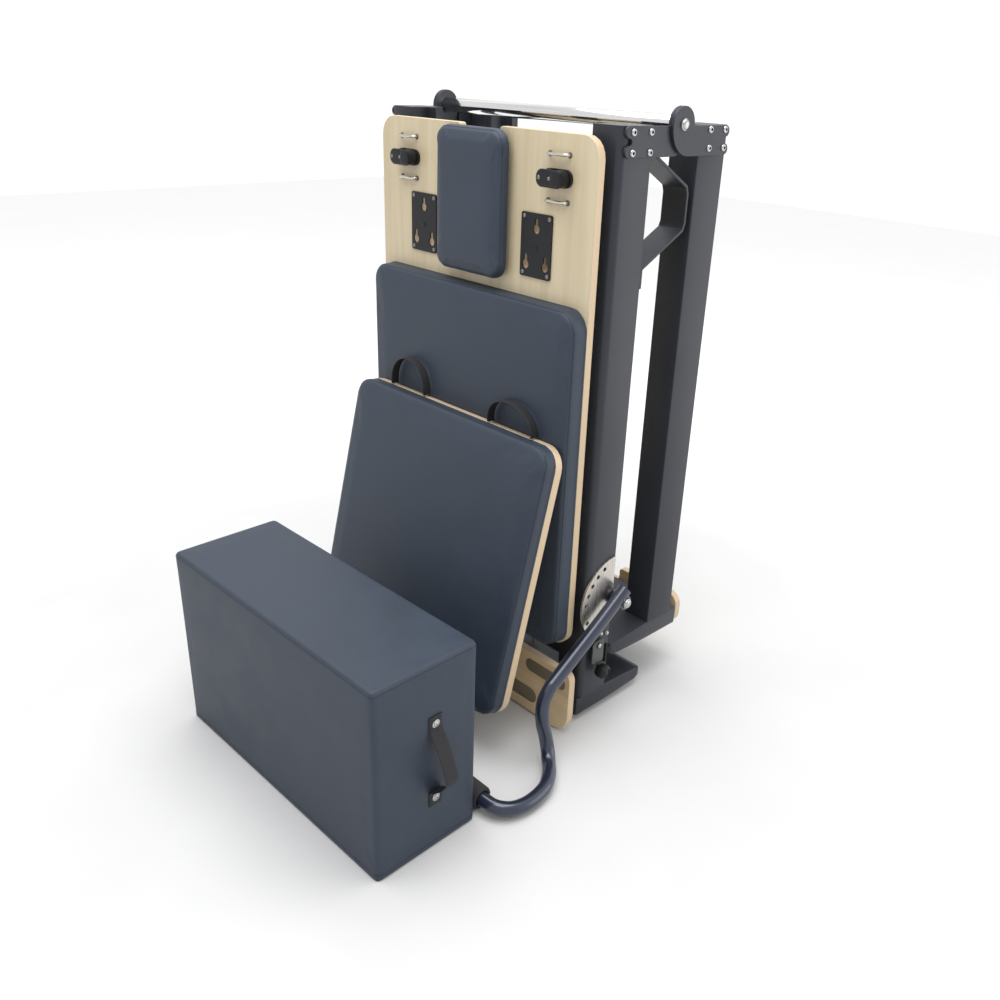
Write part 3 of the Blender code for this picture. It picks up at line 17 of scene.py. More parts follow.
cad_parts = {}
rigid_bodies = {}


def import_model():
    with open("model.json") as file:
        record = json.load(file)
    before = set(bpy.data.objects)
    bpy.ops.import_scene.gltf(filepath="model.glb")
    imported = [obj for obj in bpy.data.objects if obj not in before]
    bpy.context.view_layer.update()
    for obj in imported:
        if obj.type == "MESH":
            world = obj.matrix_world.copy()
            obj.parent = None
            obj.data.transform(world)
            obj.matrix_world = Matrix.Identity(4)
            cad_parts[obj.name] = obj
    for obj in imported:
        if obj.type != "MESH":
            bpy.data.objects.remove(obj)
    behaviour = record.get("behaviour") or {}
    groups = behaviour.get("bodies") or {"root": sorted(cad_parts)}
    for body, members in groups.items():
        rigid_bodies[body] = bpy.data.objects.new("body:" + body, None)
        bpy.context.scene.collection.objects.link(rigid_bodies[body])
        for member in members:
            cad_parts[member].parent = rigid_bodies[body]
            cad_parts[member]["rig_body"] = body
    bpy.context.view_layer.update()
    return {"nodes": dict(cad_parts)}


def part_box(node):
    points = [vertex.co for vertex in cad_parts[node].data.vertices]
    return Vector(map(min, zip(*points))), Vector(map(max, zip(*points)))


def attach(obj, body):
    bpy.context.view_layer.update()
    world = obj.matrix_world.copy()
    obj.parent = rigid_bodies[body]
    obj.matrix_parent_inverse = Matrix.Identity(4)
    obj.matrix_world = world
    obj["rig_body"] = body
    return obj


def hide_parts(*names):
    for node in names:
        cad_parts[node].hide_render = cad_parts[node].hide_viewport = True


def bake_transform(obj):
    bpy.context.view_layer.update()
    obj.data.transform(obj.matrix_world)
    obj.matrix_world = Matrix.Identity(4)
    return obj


for old in list(bpy.data.objects):
    bpy.data.objects.remove(old, do_unlink=True)

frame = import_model()

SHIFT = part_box("front_rail_right")[0].y
SIDES = ("left", "right")

# Camera, in the working frame, found from the photograph's vanishing points.
CAMERA_PLACE = (1.4347, -1.3158, 1.3259)
CAMERA_YAW = 44.70
CAMERA_PITCH = 24.485
CAMERA_ROLL = 2.492
CAMERA_LENS = 33.81
CAMERA_SENSOR = 36.0
CAMERA_SHIFT = (-0.0262, -0.0021)

# Studio. Each softbox has its name, place, target, size and power in watts.
WORLD_STRENGTH = 1.09
SOFTBOXES = (
    ("top_softbox", (0.1, -0.3, 3.4), (0.0, 0.0, 0.4), (2.8, 2.8), 110.0),
    ("right_softbox", (2.3, 2.1, 1.0), (0.3, 0.1, 0.5), (2.2, 2.0), 17.0),
)
FLOOR_REACH = 9.0
FLOOR_GAP = 0.0006
FLOOR_BLEND = (1.1, 2.7)

# Colours, linear.
PAINT = (0.023, 0.026, 0.034)
LEVER_PAINT = (0.085, 0.092, 0.090)
BAR_PAINT = (0.014, 0.021, 0.044)
LEATHER = (0.0325, 0.0445, 0.0655)
LEATHER_SEAM = (0.022, 0.028, 0.040)
MAPLE_LIGHT = (0.55, 0.475, 0.325)
MAPLE_DARK = (0.475, 0.39, 0.25)
# Browner, lighter copy of the maple for the platform and head board, which sit in shade: painted shade tint
# and painted light.
PAINTED_SHADE_BROWN_LIGHT = (0.76, 0.59, 0.35)
PAINTED_SHADE_BROWN_DARK = (0.62, 0.46, 0.25)
PLY_LIGHT = (0.56, 0.43, 0.28)
PLY_DARK = (0.44, 0.32, 0.195)
STEEL = (0.62, 0.59, 0.54)
DISC_STEEL = (0.60, 0.57, 0.52)
CHROME = (0.80, 0.795, 0.785)
BLACK = (0.0075, 0.008, 0.0095)
STRIP = (0.18, 0.145, 0.10)
SCREW_GREY = (0.24, 0.235, 0.22)
BOLT_GREY = (0.46, 0.46, 0.45)
RUBBER_BLACK = (0.016, 0.016, 0.016)
TYRE_GREY = (0.05, 0.05, 0.052)
WEBBING_BLACK = (0.014, 0.014, 0.016)
FOAM_TONE = (0.014, 0.014, 0.015)
# Foam colour in the hollow of each cell, darker as painted shade.
FOAM_HOLLOW_SHADE = (0.010, 0.010, 0.011)
FOAM_LIGHT = (0.024, 0.024, 0.026)
FLOOR_TONE = (0.58, 0.58, 0.58)
FLOOR_NEAR = (0.61, 0.61, 0.61)
FLOOR_NEAR_LIGHT = (0.63, 0.63, 0.63)
FLOOR_FAR = (0.97, 0.97, 0.97)
FLOOR_FAR_LIGHT = (0.98, 0.98, 0.98)
WALL_NEAR = (0.80, 0.80, 0.81)
WHITE = (1.0, 1.0, 1.0)
PLY_LAYERS = 5.5

# Edge rounding and cleaning of the frame's own plates and tubes.
WELD = 0.00001
FLAT_ANGLE = 1.0
EDGE_ANGLE = 32.0

# Jump board, in its own leaning frame. Each loop has its centre, width, height and lean.
JUMP_TILT = math.radians(13.7)
JUMP_LENGTH = 0.578
JUMP_PLY = 0.018
JUMP_LOOPS = ((-0.1575, 0.114, 0.068, 0.0), (0.169, 0.127, 0.054, -0.006))
JUMP_LOOP_WIDTH = 0.02
JUMP_PAD_THICKNESS = 0.0317
JUMP_PAD_CORNER = 0.042

# Padding.
PAD_EDGE = 0.0085
PAD_SLACK = 0.0002
PAD_CROWN = 0.0025
PAD_SWELL = 0.003
PAD_CORNER = 0.043
HEADREST_CORNER = 0.03
HEADREST_LIFT = 0.011
HEADREST_BACKING_INSET = 0.014
HEADREST_EDGE = 0.011
HEADREST_RISE = 0.004
PAD_VOXEL = 0.006
HEADREST_VOXEL = 0.005
BOX_VOXEL = 0.0055
CLOTH_PRESSURE = 4.0
CLOTH_FRAMES = 20
SEAM_RADIUS = 0.0007

# Webbing.
WEBBING = 0.0022
WEAVE_PITCH = 0.0016

# Sitting box, in its own turned frame.
BOX_TURN = math.radians(1.4)
BOX_SIZE = (0.660, 0.237, 0.407)
BOX_EDGE = 0.005
BOX_CORNER = 0.008
BOX_SWELL = 0.0015
BOX_TOP_SEAM = 0.009
BOX_BOTTOM_SEAM = 0.013
HANDLE_FACE = 0.3303
HANDLE_Y = 0.0155
HANDLE_WIDTH = 0.03
HANDLE_BOW = 0.0445
HANDLE_SCREW_INSET = 0.017

# How far the handle stands off the box, and how far below its top or above its bottom.
HANDLE_UPPER = ((0.0, 0.0), (0.0, 0.018), (0.003, 0.033), (0.017, 0.053), (0.034, 0.088))
HANDLE_LOWER = ((0.034, 0.060), (0.014, 0.041), (0.002, 0.033), (0.0, 0.018), (0.0, 0.0))

# Footbar. Its route is on the right side and in the working frame.
RAIL_FACE = 0.324
FOOTBAR_ROUTE = (
    (0.352, 0.092, 0.318), (0.352, 0.02, 0.266), (0.352, -0.1, 0.185),
    (0.353, -0.1286, 0.166), (0.357, -0.15, 0.14), (0.362, -0.155, 0.1),
    (0.368, -0.15, 0.062), (0.378, -0.152, 0.035), (0.395, -0.165, 0.02),
    (0.418, -0.187, 0.018), (0.44, -0.22, 0.018), (0.449, -0.255, 0.018),
    (0.45, -0.29, 0.019), (0.441, -0.319, 0.021), (0.421, -0.338, 0.0235),
    (0.396, -0.343, 0.025), (0.37, -0.343, 0.025),
)
FOOTBAR_RADIUS = 0.015
FOOTBAR_PIVOT = (0.083, 0.293)
BOSS_FACE = 0.3305
FOOTBAR_BOSS = (
    (0.0115, 0.0), (0.0165, 0.0), (0.0172, 0.001), (0.0172, 0.0335), (0.0165, 0.0345), (0.0115, 0.0345),
    (0.0115, 0.031), (0.0065, 0.031), (0.0065, 0.0),
)

# Springs and rope loops.
SPRING_CURLS = 34
SPRING_CURL_POINTS = 14
SPRING_WIRE = 0.0013
SPRING_HOOK = 0.022
LOOP_WIRE = 0.0029
LOOP_BEND = 0.006
LOOP_COLLAR = ((0.0052, -0.001), (0.0052, 0.0012), (0.0044, 0.0020), (0.0034, 0.0024))

# Wheels. The face has rings at a share of the radius and at a depth from its side.
WHEEL_BORE = 0.0056
WHEEL_FACE = ((0.42, 0.001), (0.46, 0.0035), (0.72, 0.0035), (0.76, 0.0006), (0.94, 0.0006), (1.0, 0.0035))

# Rope cleats.
SHELL_INNER = 0.0129
SHELL_OUTER = 0.0148
SHELL_CENTRE = 0.0175
SHELL_END = 0.0075

# Hinge bolts, grip strips (left, right, bottom, top) and socket screws, in the working frame.
FRONT_HINGE_BOLTS = ((0.024, 1.2355), (0.072, 1.2355), (0.024, 1.2015), (0.072, 1.2015))
REAR_HINGE_BOLTS = ((0.238, 1.2385), (0.2845, 1.2385), (0.238, 1.206), (0.2845, 1.206))
GRIP_STRIPS = (
    (0.214, 0.334, 0.112, 0.143),
    (-0.334, -0.214, 0.112, 0.143),
    (-0.25, 0.25, 0.031, 0.067),
)
SOCKET_SCREWS = tuple((u, v) for u in (-0.033, 0.033) for v in (-0.052, 0.052))
SOCKET_RING = ((0.0055, -0.0004), (0.0055, 0.0006), (0.0045, 0.001), (0.0028, 0.001), (0.002, 0.0003))

# Latch, in the working frame. Bolts have their depth, height and radius.
LATCH_STUD = (0.039, 0.19)
LEVER_FACE = 0.3365
KNOB_CENTRE = (0.047, 0.124)
KNOB_FACE = 0.3338
KNOB_PROFILE = (
    (0.0110, 0.0), (0.0152, 0.0022), (0.0165, 0.0070), (0.0165, 0.0180), (0.0152, 0.0222), (0.0122, 0.0246),
    (0.0112, 0.0240), (0.0104, 0.0226), (0.0078, 0.0226), (0.0066, 0.0240), (0.0020, 0.0250),
)
LATCH_BASE_BOLTS = ((0.0245, 0.2095, 0.0034), (0.0535, 0.2095, 0.0048))
LATCH_RAIL_BOLTS = ((0.0565, 0.2255, 0.0066), (0.0775, 0.2, 0.0052))


def with_values(target, **values):
    for name, value in values.items():
        setattr(target, name, value)
    return target


def added(tree, kind, inputs, **values):
    """New node whose inputs are linked to sockets or set to plain values."""
    node = with_values(tree.nodes.new("ShaderNode" + kind), **values)
    for name, value in inputs.items():
        if isinstance(value, bpy.types.NodeSocket):
            tree.links.new(value, node.inputs[name])
        else:
            node.inputs[name].default_value = value
    return node


def shader_tree(name, colour, roughness, **more):
    """New material with its node tree and its shader. More values go to the sockets they name."""
    material = bpy.data.materials.new(name)
    material.use_nodes = True
    tree = material.node_tree
    shader = tree.nodes["Principled BSDF"]
    shader.inputs["Base Color"].default_value = (*colour, 1.0)
    shader.inputs["Roughness"].default_value = roughness
    for socket, value in more.items():
        shader.inputs[socket.replace("_", " ")].default_value = value
    material.diffuse_color = (*colour, 1.0)
    return material, tree, shader


def mapped(tree, stretch=(1.0, 1.0, 1.0), turn=0.0, source="Object"):
    """Coordinates of the piece, turned about X where asked and then stretched."""
    vector = tree.nodes.new("ShaderNodeTexCoord").outputs[source]
    if turn:
        vector = added(tree, "Mapping", {"Vector": vector, "Rotation": (turn, 0.0, 0.0)}).outputs["Vector"]
    return added(tree, "Mapping", {"Vector": vector, "Scale": stretch}).outputs["Vector"]


def axes(tree, vector):
    """The X, Y and Z of a vector."""
    return added(tree, "SeparateXYZ", {"Vector": vector}).outputs


def noise(tree, vector, scale, detail=3.0, roughness=0.5):
    inputs = {"Vector": vector, "Scale": scale, "Detail": detail, "Roughness": roughness}
    return added(tree, "TexNoise", inputs).outputs[0]


def cells(tree, vector, scale, feature="DISTANCE_TO_EDGE"):
    inputs = {"Vector": vector, "Scale": scale}
    return added(tree, "TexVoronoi", inputs, feature=feature).outputs["Distance"]


def tinted(tree, factor, low, high, start=0.35, end=0.65):
    """Colour that goes from one tone to another as the factor rises."""
    ramp = added(tree, "ValToRGB", {"Fac": factor})
    first, last = ramp.color_ramp.elements
    with_values(first, position=start, color=(*low, 1.0))
    with_values(last, position=end, color=(*high, 1.0))
    return ramp.outputs["Color"]


def remapped(tree, factor, low, high, start=0.3, end=0.7):
    inputs = {"Value": factor, "From Min": start, "From Max": end, "To Min": low, "To Max": high}
    return added(tree, "MapRange", inputs).outputs["Result"]


def computed(tree, operation, first, second=None):
    """Math node whose inputs are sockets or numbers."""
    inputs = {0: first} if second is None else {0: first, 1: second}
    return added(tree, "Math", inputs, operation=operation).outputs["Value"]


def mixed(tree, factor, first, second, blend="MIX"):
    inputs = {"Factor": factor, "A": first, "B": second}
    return added(tree, "Mix", inputs, data_type="RGBA", blend_type=blend).outputs["Result"]


def relief(tree, shader, height, distance):
    node = added(tree, "Bump", {"Strength": 1.0, "Distance": distance, "Height": height})
    tree.links.new(node.outputs["Normal"], shader.inputs["Normal"])


def shade(colour, factor):
    return tuple(min(1.0, channel * factor) for channel in colour)


def mottled(tree, shader, factor, colour, low, high, start=0.35, end=0.65):
    """Let the surface colour go from a darker to a lighter shade as the factor rises."""
    tone = tinted(tree, factor, shade(colour, low), shade(colour, high), start, end)
    tree.links.new(tone, shader.inputs["Base Color"])


def roughened(tree, shader, factor, low, high, start=0.3, end=0.7):
    """Let the roughness go from low to high as the factor rises."""
    tree.links.new(remapped(tree, factor, low, high, start, end), shader.inputs["Roughness"])


def powder_coat(name, colour, low_gloss, high_gloss, metallic):
    """Baked powder coat: even tone, fine orange peel, slight change of gloss."""
    material, tree, shader = shader_tree(name, colour, low_gloss, Metallic=metallic, Specular_IOR_Level=0.4)
    place = mapped(tree)
    tone = noise(tree, place, 7.0, 4.0)
    peel = noise(tree, place, 900.0, 2.0)
    mottled(tree, shader, tone, colour, 0.93, 1.07)
    roughened(tree, shader, peel, low_gloss, high_gloss)
    relief(tree, shader, peel, 0.00012)
    return material


def footbar_gloss():
    """Gloss paint with a clear top layer on the bent bar."""
    more = {"Metallic": 0.25, "Coat_Weight": 0.7, "Coat_Roughness": 0.07}
    material, tree, shader = shader_tree("footbar_gloss", BAR_PAINT, 0.3, **more)
    place = mapped(tree)
    flake = noise(tree, place, 500.0, 2.0)
    mottled(tree, shader, flake, BAR_PAINT, 0.85, 1.2)
    relief(tree, shader, noise(tree, place, 160.0, 2.0), 0.00012)
    return material


def leatherette(name, colour):
    """Embossed upholstery leatherette: small uneven cells, darkened in the creases between them as painted
    shade, fine pores, slow change of tone.
    """
    more = {"Specular_IOR_Level": 0.3, "Coat_Weight": 0.05, "Coat_Roughness": 0.45}
    material, tree, shader = shader_tree(name, colour, 0.5, **more)
    place = mapped(tree)
    creases = cells(tree, place, 620.0)
    pores = noise(tree, place, 1700.0, 2.0)
    wear = noise(tree, place, 9.0, 5.0, 0.6)
    tone = tinted(tree, wear, shade(colour, 0.92), shade(colour, 1.08))
    # Painted shade: the colour darkens in the creases between the grain's cells.
    ramp = remapped(tree, creases, 0.78, 1.0, 0.0, 0.12)
    tree.links.new(mixed(tree, 1.0, tone, ramp, "MULTIPLY"), shader.inputs["Base Color"])
    roughened(tree, shader, wear, 0.44, 0.56)
    cushions = computed(tree, "MINIMUM", creases, 0.25)
    height = computed(tree, "ADD", cushions, computed(tree, "MULTIPLY", pores, 0.2))
    relief(tree, shader, height, 0.00035)
    return material


def plywood(name, tilt, face_low, face_high, along_z=True, dark=MAPLE_DARK, light=MAPLE_LIGHT):
    """Faced plywood: streaked face grain, and layers on the cut edges.

    The faces lie across Y once the piece is turned upright by its tilt, from
    face_low to face_high. The grain runs up the board or across it.
    """
    material, tree, shader = shader_tree(name, light, 0.42)
    fine = (55.0, 55.0, 2.2) if along_z else (2.2, 55.0, 55.0)
    broad = (11.0, 11.0, 0.7) if along_z else (0.7, 11.0, 11.0)
    streaks = noise(tree, mapped(tree, fine, tilt), 1.0, 6.0, 0.6)
    clouds = noise(tree, mapped(tree, broad, tilt), 1.0, 3.0)
    sharp = computed(tree, "MULTIPLY", streaks, 0.55)
    both = computed(tree, "ADD", sharp, computed(tree, "MULTIPLY", clouds, 0.45))
    face = tinted(tree, both, dark, light, 0.38, 0.6)

    across = axes(tree, mapped(tree, turn=tilt))["Y"]
    depth = remapped(tree, across, 0.0, PLY_LAYERS, face_low, face_high)
    layer = computed(tree, "ABSOLUTE", computed(tree, "SINE", computed(tree, "MULTIPLY", depth, math.pi)))
    edge_tone = tinted(tree, layer, PLY_DARK, PLY_LIGHT, 0.1, 0.45)

    normal = axes(tree, mapped(tree, turn=tilt, source="Normal"))["Y"]
    on_face = computed(tree, "GREATER_THAN", computed(tree, "ABSOLUTE", normal), 0.75)
    tree.links.new(mixed(tree, on_face, edge_tone, face), shader.inputs["Base Color"])
    roughened(tree, shader, streaks, 0.36, 0.5)
    relief(tree, shader, streaks, 0.00008)
    return material


def brushed(name, colour, stretch, low_gloss, high_gloss):
    """Metal with fine brush marks along one direction."""
    material, tree, shader = shader_tree(name, colour, low_gloss, Metallic=1.0)
    marks = noise(tree, mapped(tree, stretch), 1.0, 4.0, 0.6)
    mottled(tree, shader, marks, colour, 0.86, 1.08)
    roughened(tree, shader, marks, low_gloss, high_gloss)
    relief(tree, shader, marks, 0.00003)
    return material


def moulded(name, colour, low_gloss, high_gloss, scale, depth):
    """Moulded plastic or rubber with a fine spark texture."""
    material, tree, shader = shader_tree(name, colour, low_gloss, Specular_IOR_Level=0.28)
    grit = noise(tree, mapped(tree), scale, 3.0)
    mottled(tree, shader, grit, colour, 0.8, 1.3)
    roughened(tree, shader, grit, low_gloss, high_gloss)
    relief(tree, shader, grit, depth)
    return material


def foam():
    """Closed-cell foam with small round cells, darker in each cell's hollow as painted shade."""
    material, tree, shader = shader_tree("closed_foam", FOAM_TONE, 0.85)
    bubbles = cells(tree, mapped(tree), 450.0, "F1")
    # Painted shade: each cell is darkest at its hollow middle and lighter towards its rim.
    tree.links.new(tinted(tree, bubbles, FOAM_HOLLOW_SHADE, FOAM_LIGHT, 0.1, 0.7), shader.inputs["Base Color"])
    roughened(tree, shader, bubbles, 0.75, 0.95)
    relief(tree, shader, bubbles, 0.0004)
    return material


def woven(name, colour):
    """Nylon webbing whose weave follows the strap's own lengthways map."""
    material, tree, shader = shader_tree(name, colour, 0.7)
    place = axes(tree, added(tree, "UVMap", {}, uv_map="strap").outputs["UV"])
    turns = 2 * math.pi / WEAVE_PITCH
    across = computed(tree, "SINE", computed(tree, "MULTIPLY", place["X"], turns))
    along = computed(tree, "SINE", computed(tree, "MULTIPLY", place["Y"], turns))
    weave = computed(tree, "MULTIPLY", across, along)
    mottled(tree, shader, weave, colour, 0.6, 1.9, 0.0, 0.8)
    roughened(tree, shader, weave, 0.8, 0.6, -1.0, 1.0)
    relief(tree, shader, weave, 0.0002)
    return material


def depths_of(node):
    """Front and back of a board."""
    low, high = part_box(node)
    return low.y, high.y


FRAME_PAINT = powder_coat("frame_powder_coat", PAINT, 0.36, 0.48, 0.15)
GLOSS = footbar_gloss()
SLATE = leatherette("slate_upholstery", LEATHER)
SEAM = leatherette("slate_seam", LEATHER_SEAM)
CHROMED = brushed("polished_chrome", CHROME, (3.0, 300.0, 300.0), 0.05, 0.12)
BRUSHED = brushed("brushed_disc", DISC_STEEL, (400.0, 400.0, 12.0), 0.24, 0.38)
WIRE = brushed("rope_loop_steel", STEEL, (12.0, 400.0, 400.0), 0.16, 0.26)
LEVER = powder_coat("lever_paint", LEVER_PAINT, 0.4, 0.52, 0.3)
BOLT = brushed("zinc_bolt", BOLT_GREY, (300.0, 300.0, 300.0), 0.2, 0.34)
SCREW = brushed("dull_screw", SCREW_GREY, (300.0, 300.0, 300.0), 0.3, 0.45)
PLASTIC = moulded("black_moulding", BLACK, 0.32, 0.46, 1200.0, 0.0001)
RUBBER = moulded("black_rubber_grain", RUBBER_BLACK, 0.7, 0.85, 500.0, 0.0002)
TYRE = moulded("wheel_tyre", TYRE_GREY, 0.4, 0.55, 500.0, 0.0001)
TREAD = moulded("grip_strip", STRIP, 0.75, 0.9, 900.0, 0.0004)
FOAM = foam()
WEBBING_CLOTH = woven("black_webbing_weave", WEBBING_BLACK)
CARRIAGE_PLY = plywood("carriage_plywood", 0.0, *depths_of("carriage_board"))

# Grain that runs across the board, in a browner and lighter copy of the maple: painted shade tint and
# painted light for boards that sit in shade.
PAINTED_SHADE_BROWN_FACE = (False, PAINTED_SHADE_BROWN_DARK, PAINTED_SHADE_BROWN_LIGHT)
PLATFORM_PLY = plywood("platform_plywood", 0.0, *depths_of("foot_platform"), *PAINTED_SHADE_BROWN_FACE)
HEAD_PLY = plywood("head_plywood", 0.0, *depths_of("head_board"), *PAINTED_SHADE_BROWN_FACE)

JUMP_X = sum(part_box("jump_board")[k].x for k in (0, 1)) / 2
JUMP_FOOT_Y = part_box("jump_board")[1].y - JUMP_LENGTH * math.sin(JUMP_TILT)
JUMP_FOOT_Z = 0.106
JUMP_PLACE = Matrix.Translation((JUMP_X, JUMP_FOOT_Y, JUMP_FOOT_Z)) @ Matrix.Rotation(-JUMP_TILT, 4, "X")
JUMP_LEVEL = (JUMP_PLACE.to_3x3().inverted() @ JUMP_PLACE.translation).y
JUMP_MAPLE = plywood("jump_plywood", JUMP_TILT, JUMP_LEVEL - JUMP_PLY, JUMP_LEVEL)


def build(name, shape, material, body, replaces=(), smooth=40.0):
    """Turn a bmesh into a piece in its material's slot, which rides on a body where one is given."""
    bmesh.ops.recalc_face_normals(shape, faces=shape.faces)
    mesh = bpy.data.meshes.new(name)
    shape.to_mesh(mesh)
    shape.free()
    if "custom_normal" in mesh.attributes:
        mesh.attributes.remove(mesh.attributes["custom_normal"])
    mesh.materials.clear()
    mesh.materials.append(material)
    mesh.shade_smooth()
    if smooth:
        mesh.set_sharp_from_angle(angle=math.radians(smooth))
    piece = bpy.data.objects.new(name, mesh)
    bpy.context.scene.collection.objects.link(piece)
    if body:
        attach(piece, body)
    if replaces:
        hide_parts(*replaces)
    return piece


def body_of(node):
    return frame["nodes"][node]["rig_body"]


def softened(node, material, edge):
    """The node's own shape with its triangles merged and its sharp edges rounded."""
    shape = bmesh.new()
    shape.from_mesh(frame["nodes"][node].data)
    bmesh.ops.remove_doubles(shape, verts=shape.verts, dist=WELD)
    bmesh.ops.dissolve_limit(
        shape, angle_limit=math.radians(FLAT_ANGLE), verts=shape.verts, edges=shape.edges
    )
    piece = build(node + "_finished", shape, material, body_of(node), (node,), None)
    rounding = piece.modifiers.new("edges", "BEVEL")
    with_values(rounding, width=edge, segments=2, limit_method="ANGLE", harden_normals=True)
    rounding.angle_limit = math.radians(EDGE_ANGLE)


def ring_points(radius, count, hexagon=False):
    """Points of a circle, or as many points moved onto a hexagon."""
    points = []
    for k in range(count):
        angle = 2 * math.pi * k / count
        reach = radius
        if hexagon:
            reach = radius * math.cos(math.pi / 6) / math.cos(angle % (math.pi / 3) - math.pi / 6)
        points.append((reach * math.cos(angle), reach * math.sin(angle)))
    return points


def skinned(rings, loop=False):
    """Faces through rings of as many points each, closed at both ends or into a loop."""
    shape = bmesh.new()
    layers = [[shape.verts.new(point) for point in ring] for ring in rings]
    count = len(rings[0])
    pairs = list(zip(layers, layers[1:]))
    if loop:
        pairs.append((layers[-1], layers[0]))
    for lower, upper in pairs:
        for index in range(count):
            shape.faces.new((lower[index - 1], lower[index], upper[index], upper[index - 1]))
    if not loop:
        shape.faces.new(layers[0])
        shape.faces.new(layers[-1])
    return shape


def turned(profile, count, loop=False):
    """Round piece about Z from (radius, height) pairs; a third value makes that ring a hexagon."""
    rings = []
    for radius, height, *hexagon in profile:
        rings.append([Vector((u, v, height)) for u, v in ring_points(radius, count, bool(hexagon))])
    return skinned(rings, loop)


def facing(direction):
    """Matrix that turns plus Z to a direction."""
    return Vector(direction).to_track_quat("Z", "Y").to_matrix().to_4x4()


def moved(shape, matrix):
    bmesh.ops.transform(shape, matrix=matrix, verts=shape.verts)
    return shape


def placed(shape, point, direction):
    """Put a shape's own zero at a point, with its plus Z towards a direction."""
    return moved(shape, Matrix.Translation(point) @ facing(direction))


def middle_of(node):
    low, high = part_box(node)
    return (low + high) / 2


def radius_of(node):
    low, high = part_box(node)
    return (high.z - low.z) / 2


def tube_across(node, end, count, middle=()):
    """Round tube along X in a node's place, from the profile of its ends and of its middle."""
    low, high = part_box(node)
    profile = [*end, *middle, *((radius, high.x - low.x - height) for radius, height in reversed(end))]
    return placed(turned(profile, count, True), (low.x, *middle_of(node).yz), (1, 0, 0))


def merged(shapes):
    """One bmesh that holds all the given ones."""
    whole = bmesh.new()
    for shape in shapes:
        mesh = bpy.data.meshes.new("part_of_whole")
        shape.to_mesh(mesh)
        shape.free()
        whole.from_mesh(mesh)
        bpy.data.meshes.remove(mesh)
    return whole


def socket_bolt(radius, height):
    """Button head with a hexagon socket."""
    socket = radius * 0.52
    return turned((
        (radius * 0.97, -0.0005), (radius, height * 0.15), (radius * 0.97, height * 0.5),
        (radius * 0.82, height * 0.85), (radius * 0.68, height), (socket, height, True),
        (socket, height * 0.35, True), (socket * 0.4, height * 0.2, True),
    ), 24)


def socket_shade_plug(radius, height):
    """Dark fill at the bottom of a hexagon socket: painted shade in the recess."""
    return turned(((radius, 0.0, True), (radius, height, True)), 24)


def dome_bolt(radius, height):
    """Plain domed head over a narrow washer rim."""
    return turned((
        (radius, -0.0005), (radius, height * 0.2), (radius * 0.94, height * 0.28),
        (radius * 0.86, height * 0.3), (radius * 0.8, height * 0.62), (radius * 0.62, height * 0.85),
        (radius * 0.35, height * 0.97), (radius * 0.1, height),
    ), 28)


def cross_screw(radius, height):
    """Low screw head with a small drive recess."""
    return turned((
        (radius, -0.0004), (radius, height * 0.3), (radius * 0.85, height * 0.75),
        (radius * 0.55, height), (radius * 0.3, height), (radius * 0.25, height * 0.4),
    ), 20)


def heads_at(maker, radius, height, points, direction):
    """One bmesh with the same head at each point."""
    return merged([placed(maker(radius, height), point, direction) for point in points])


def smooth_route(points, steps):
    """Points of a smooth curve through the given points."""
    points = [Vector(point) for point in points]
    route = []
    for index in range(len(points) - 1):
        start, end = points[index], points[index + 1]
        leaving = (end - points[max(index - 1, 0)]) / 2
        arriving = (points[min(index + 2, len(points) - 1)] - start) / 2
        for step in range(steps):
            t = step / steps
            route.append(
                start * (2 * t**3 - 3 * t**2 + 1)
                + leaving * (t**3 - 2 * t**2 + t)
                + end * (3 * t**2 - 2 * t**3)
                + arriving * (t**3 - t**2)
            )
    route.append(points[-1])
    return route


def directions(route, loop=False):
    """Direction of a route at each of its points."""
    found = []
    last = len(route) - 1
    for index, point in enumerate(route):
        before = route[index - 1] if loop or index else point
        after = route[(index + 1) % len(route)] if loop or index < last else point
        found.append((after - before).normalized())
    return found


def swept(route, radius, sides, loop=False):
    """Round bar along a route."""
    route = [Vector(point) for point in route]
    along_route = directions(route, loop)
    side = along_route[0].orthogonal().normalized()
    rings = []
    for point, along in zip(route, along_route):
        side = (side - along * side.dot(along)).normalized()
        up = along.cross(side)
        ring = []
        for step in range(sides):
            angle = 2 * math.pi * step / sides
            ring.append(point + side * math.cos(angle) * radius + up * math.sin(angle) * radius)
        rings.append(ring)
    return skinned(rings, loop)


def strap(route, width_direction, width, thickness):
    """Flat webbing along a route, with rounded edges and a map that runs along it."""
    route = [Vector(point) for point in route]
    wide = Vector(width_direction).normalized()
    half = width / 2
    thin = thickness / 2
    edge = (half - thin * 0.6, thin * 0.85)
    upper = [(-half, 0.0), (-edge[0], edge[1]), (-half * 0.6, thin), (0.0, thin), (half * 0.6, thin), edge]
    section = upper + [(-u, -v) for u, v in upper]
    rings = []
    for point, along in zip(route, directions(route)):
        across = (wide - along * wide.dot(along)).normalized()
        normal = along.cross(across)
        rings.append([point + across * u + normal * v for u, v in section])
    lengths = [0.0]
    for start, end in zip(route, route[1:]):
        lengths.append(lengths[-1] + (end - start).length)
    shape = skinned(rings)
    shape.verts.index_update()
    strap_map = shape.loops.layers.uv.new("strap")
    for face in shape.faces:
        for corner in face.loops if len(face.verts) == 4 else ():
            row, column = divmod(corner.vert.index, len(section))
            corner[strap_map].uv = (section[column][0], lengths[row])
    return shape


def rounded_plate(width, height, radius, levels, corner_steps, side_steps=1):
    """Rounded plate that faces minus Y, through (inset, lift) levels."""
    rings = []
    for inset, lift in levels:
        size = (width - 2 * inset, height - 2 * inset, max(radius - inset, 0.004))
        outline = rounded_outline(*size, corner_steps, side_steps)
        rings.append([Vector((u, -lift, v)) for u, v in outline])
    return skinned(rings)


def triangulated(shape):
    """Split the large end faces, which the evening out can't take as they are."""
    bmesh.ops.triangulate(shape, faces=[face for face in shape.faces if len(face.verts) > 4])
    return shape


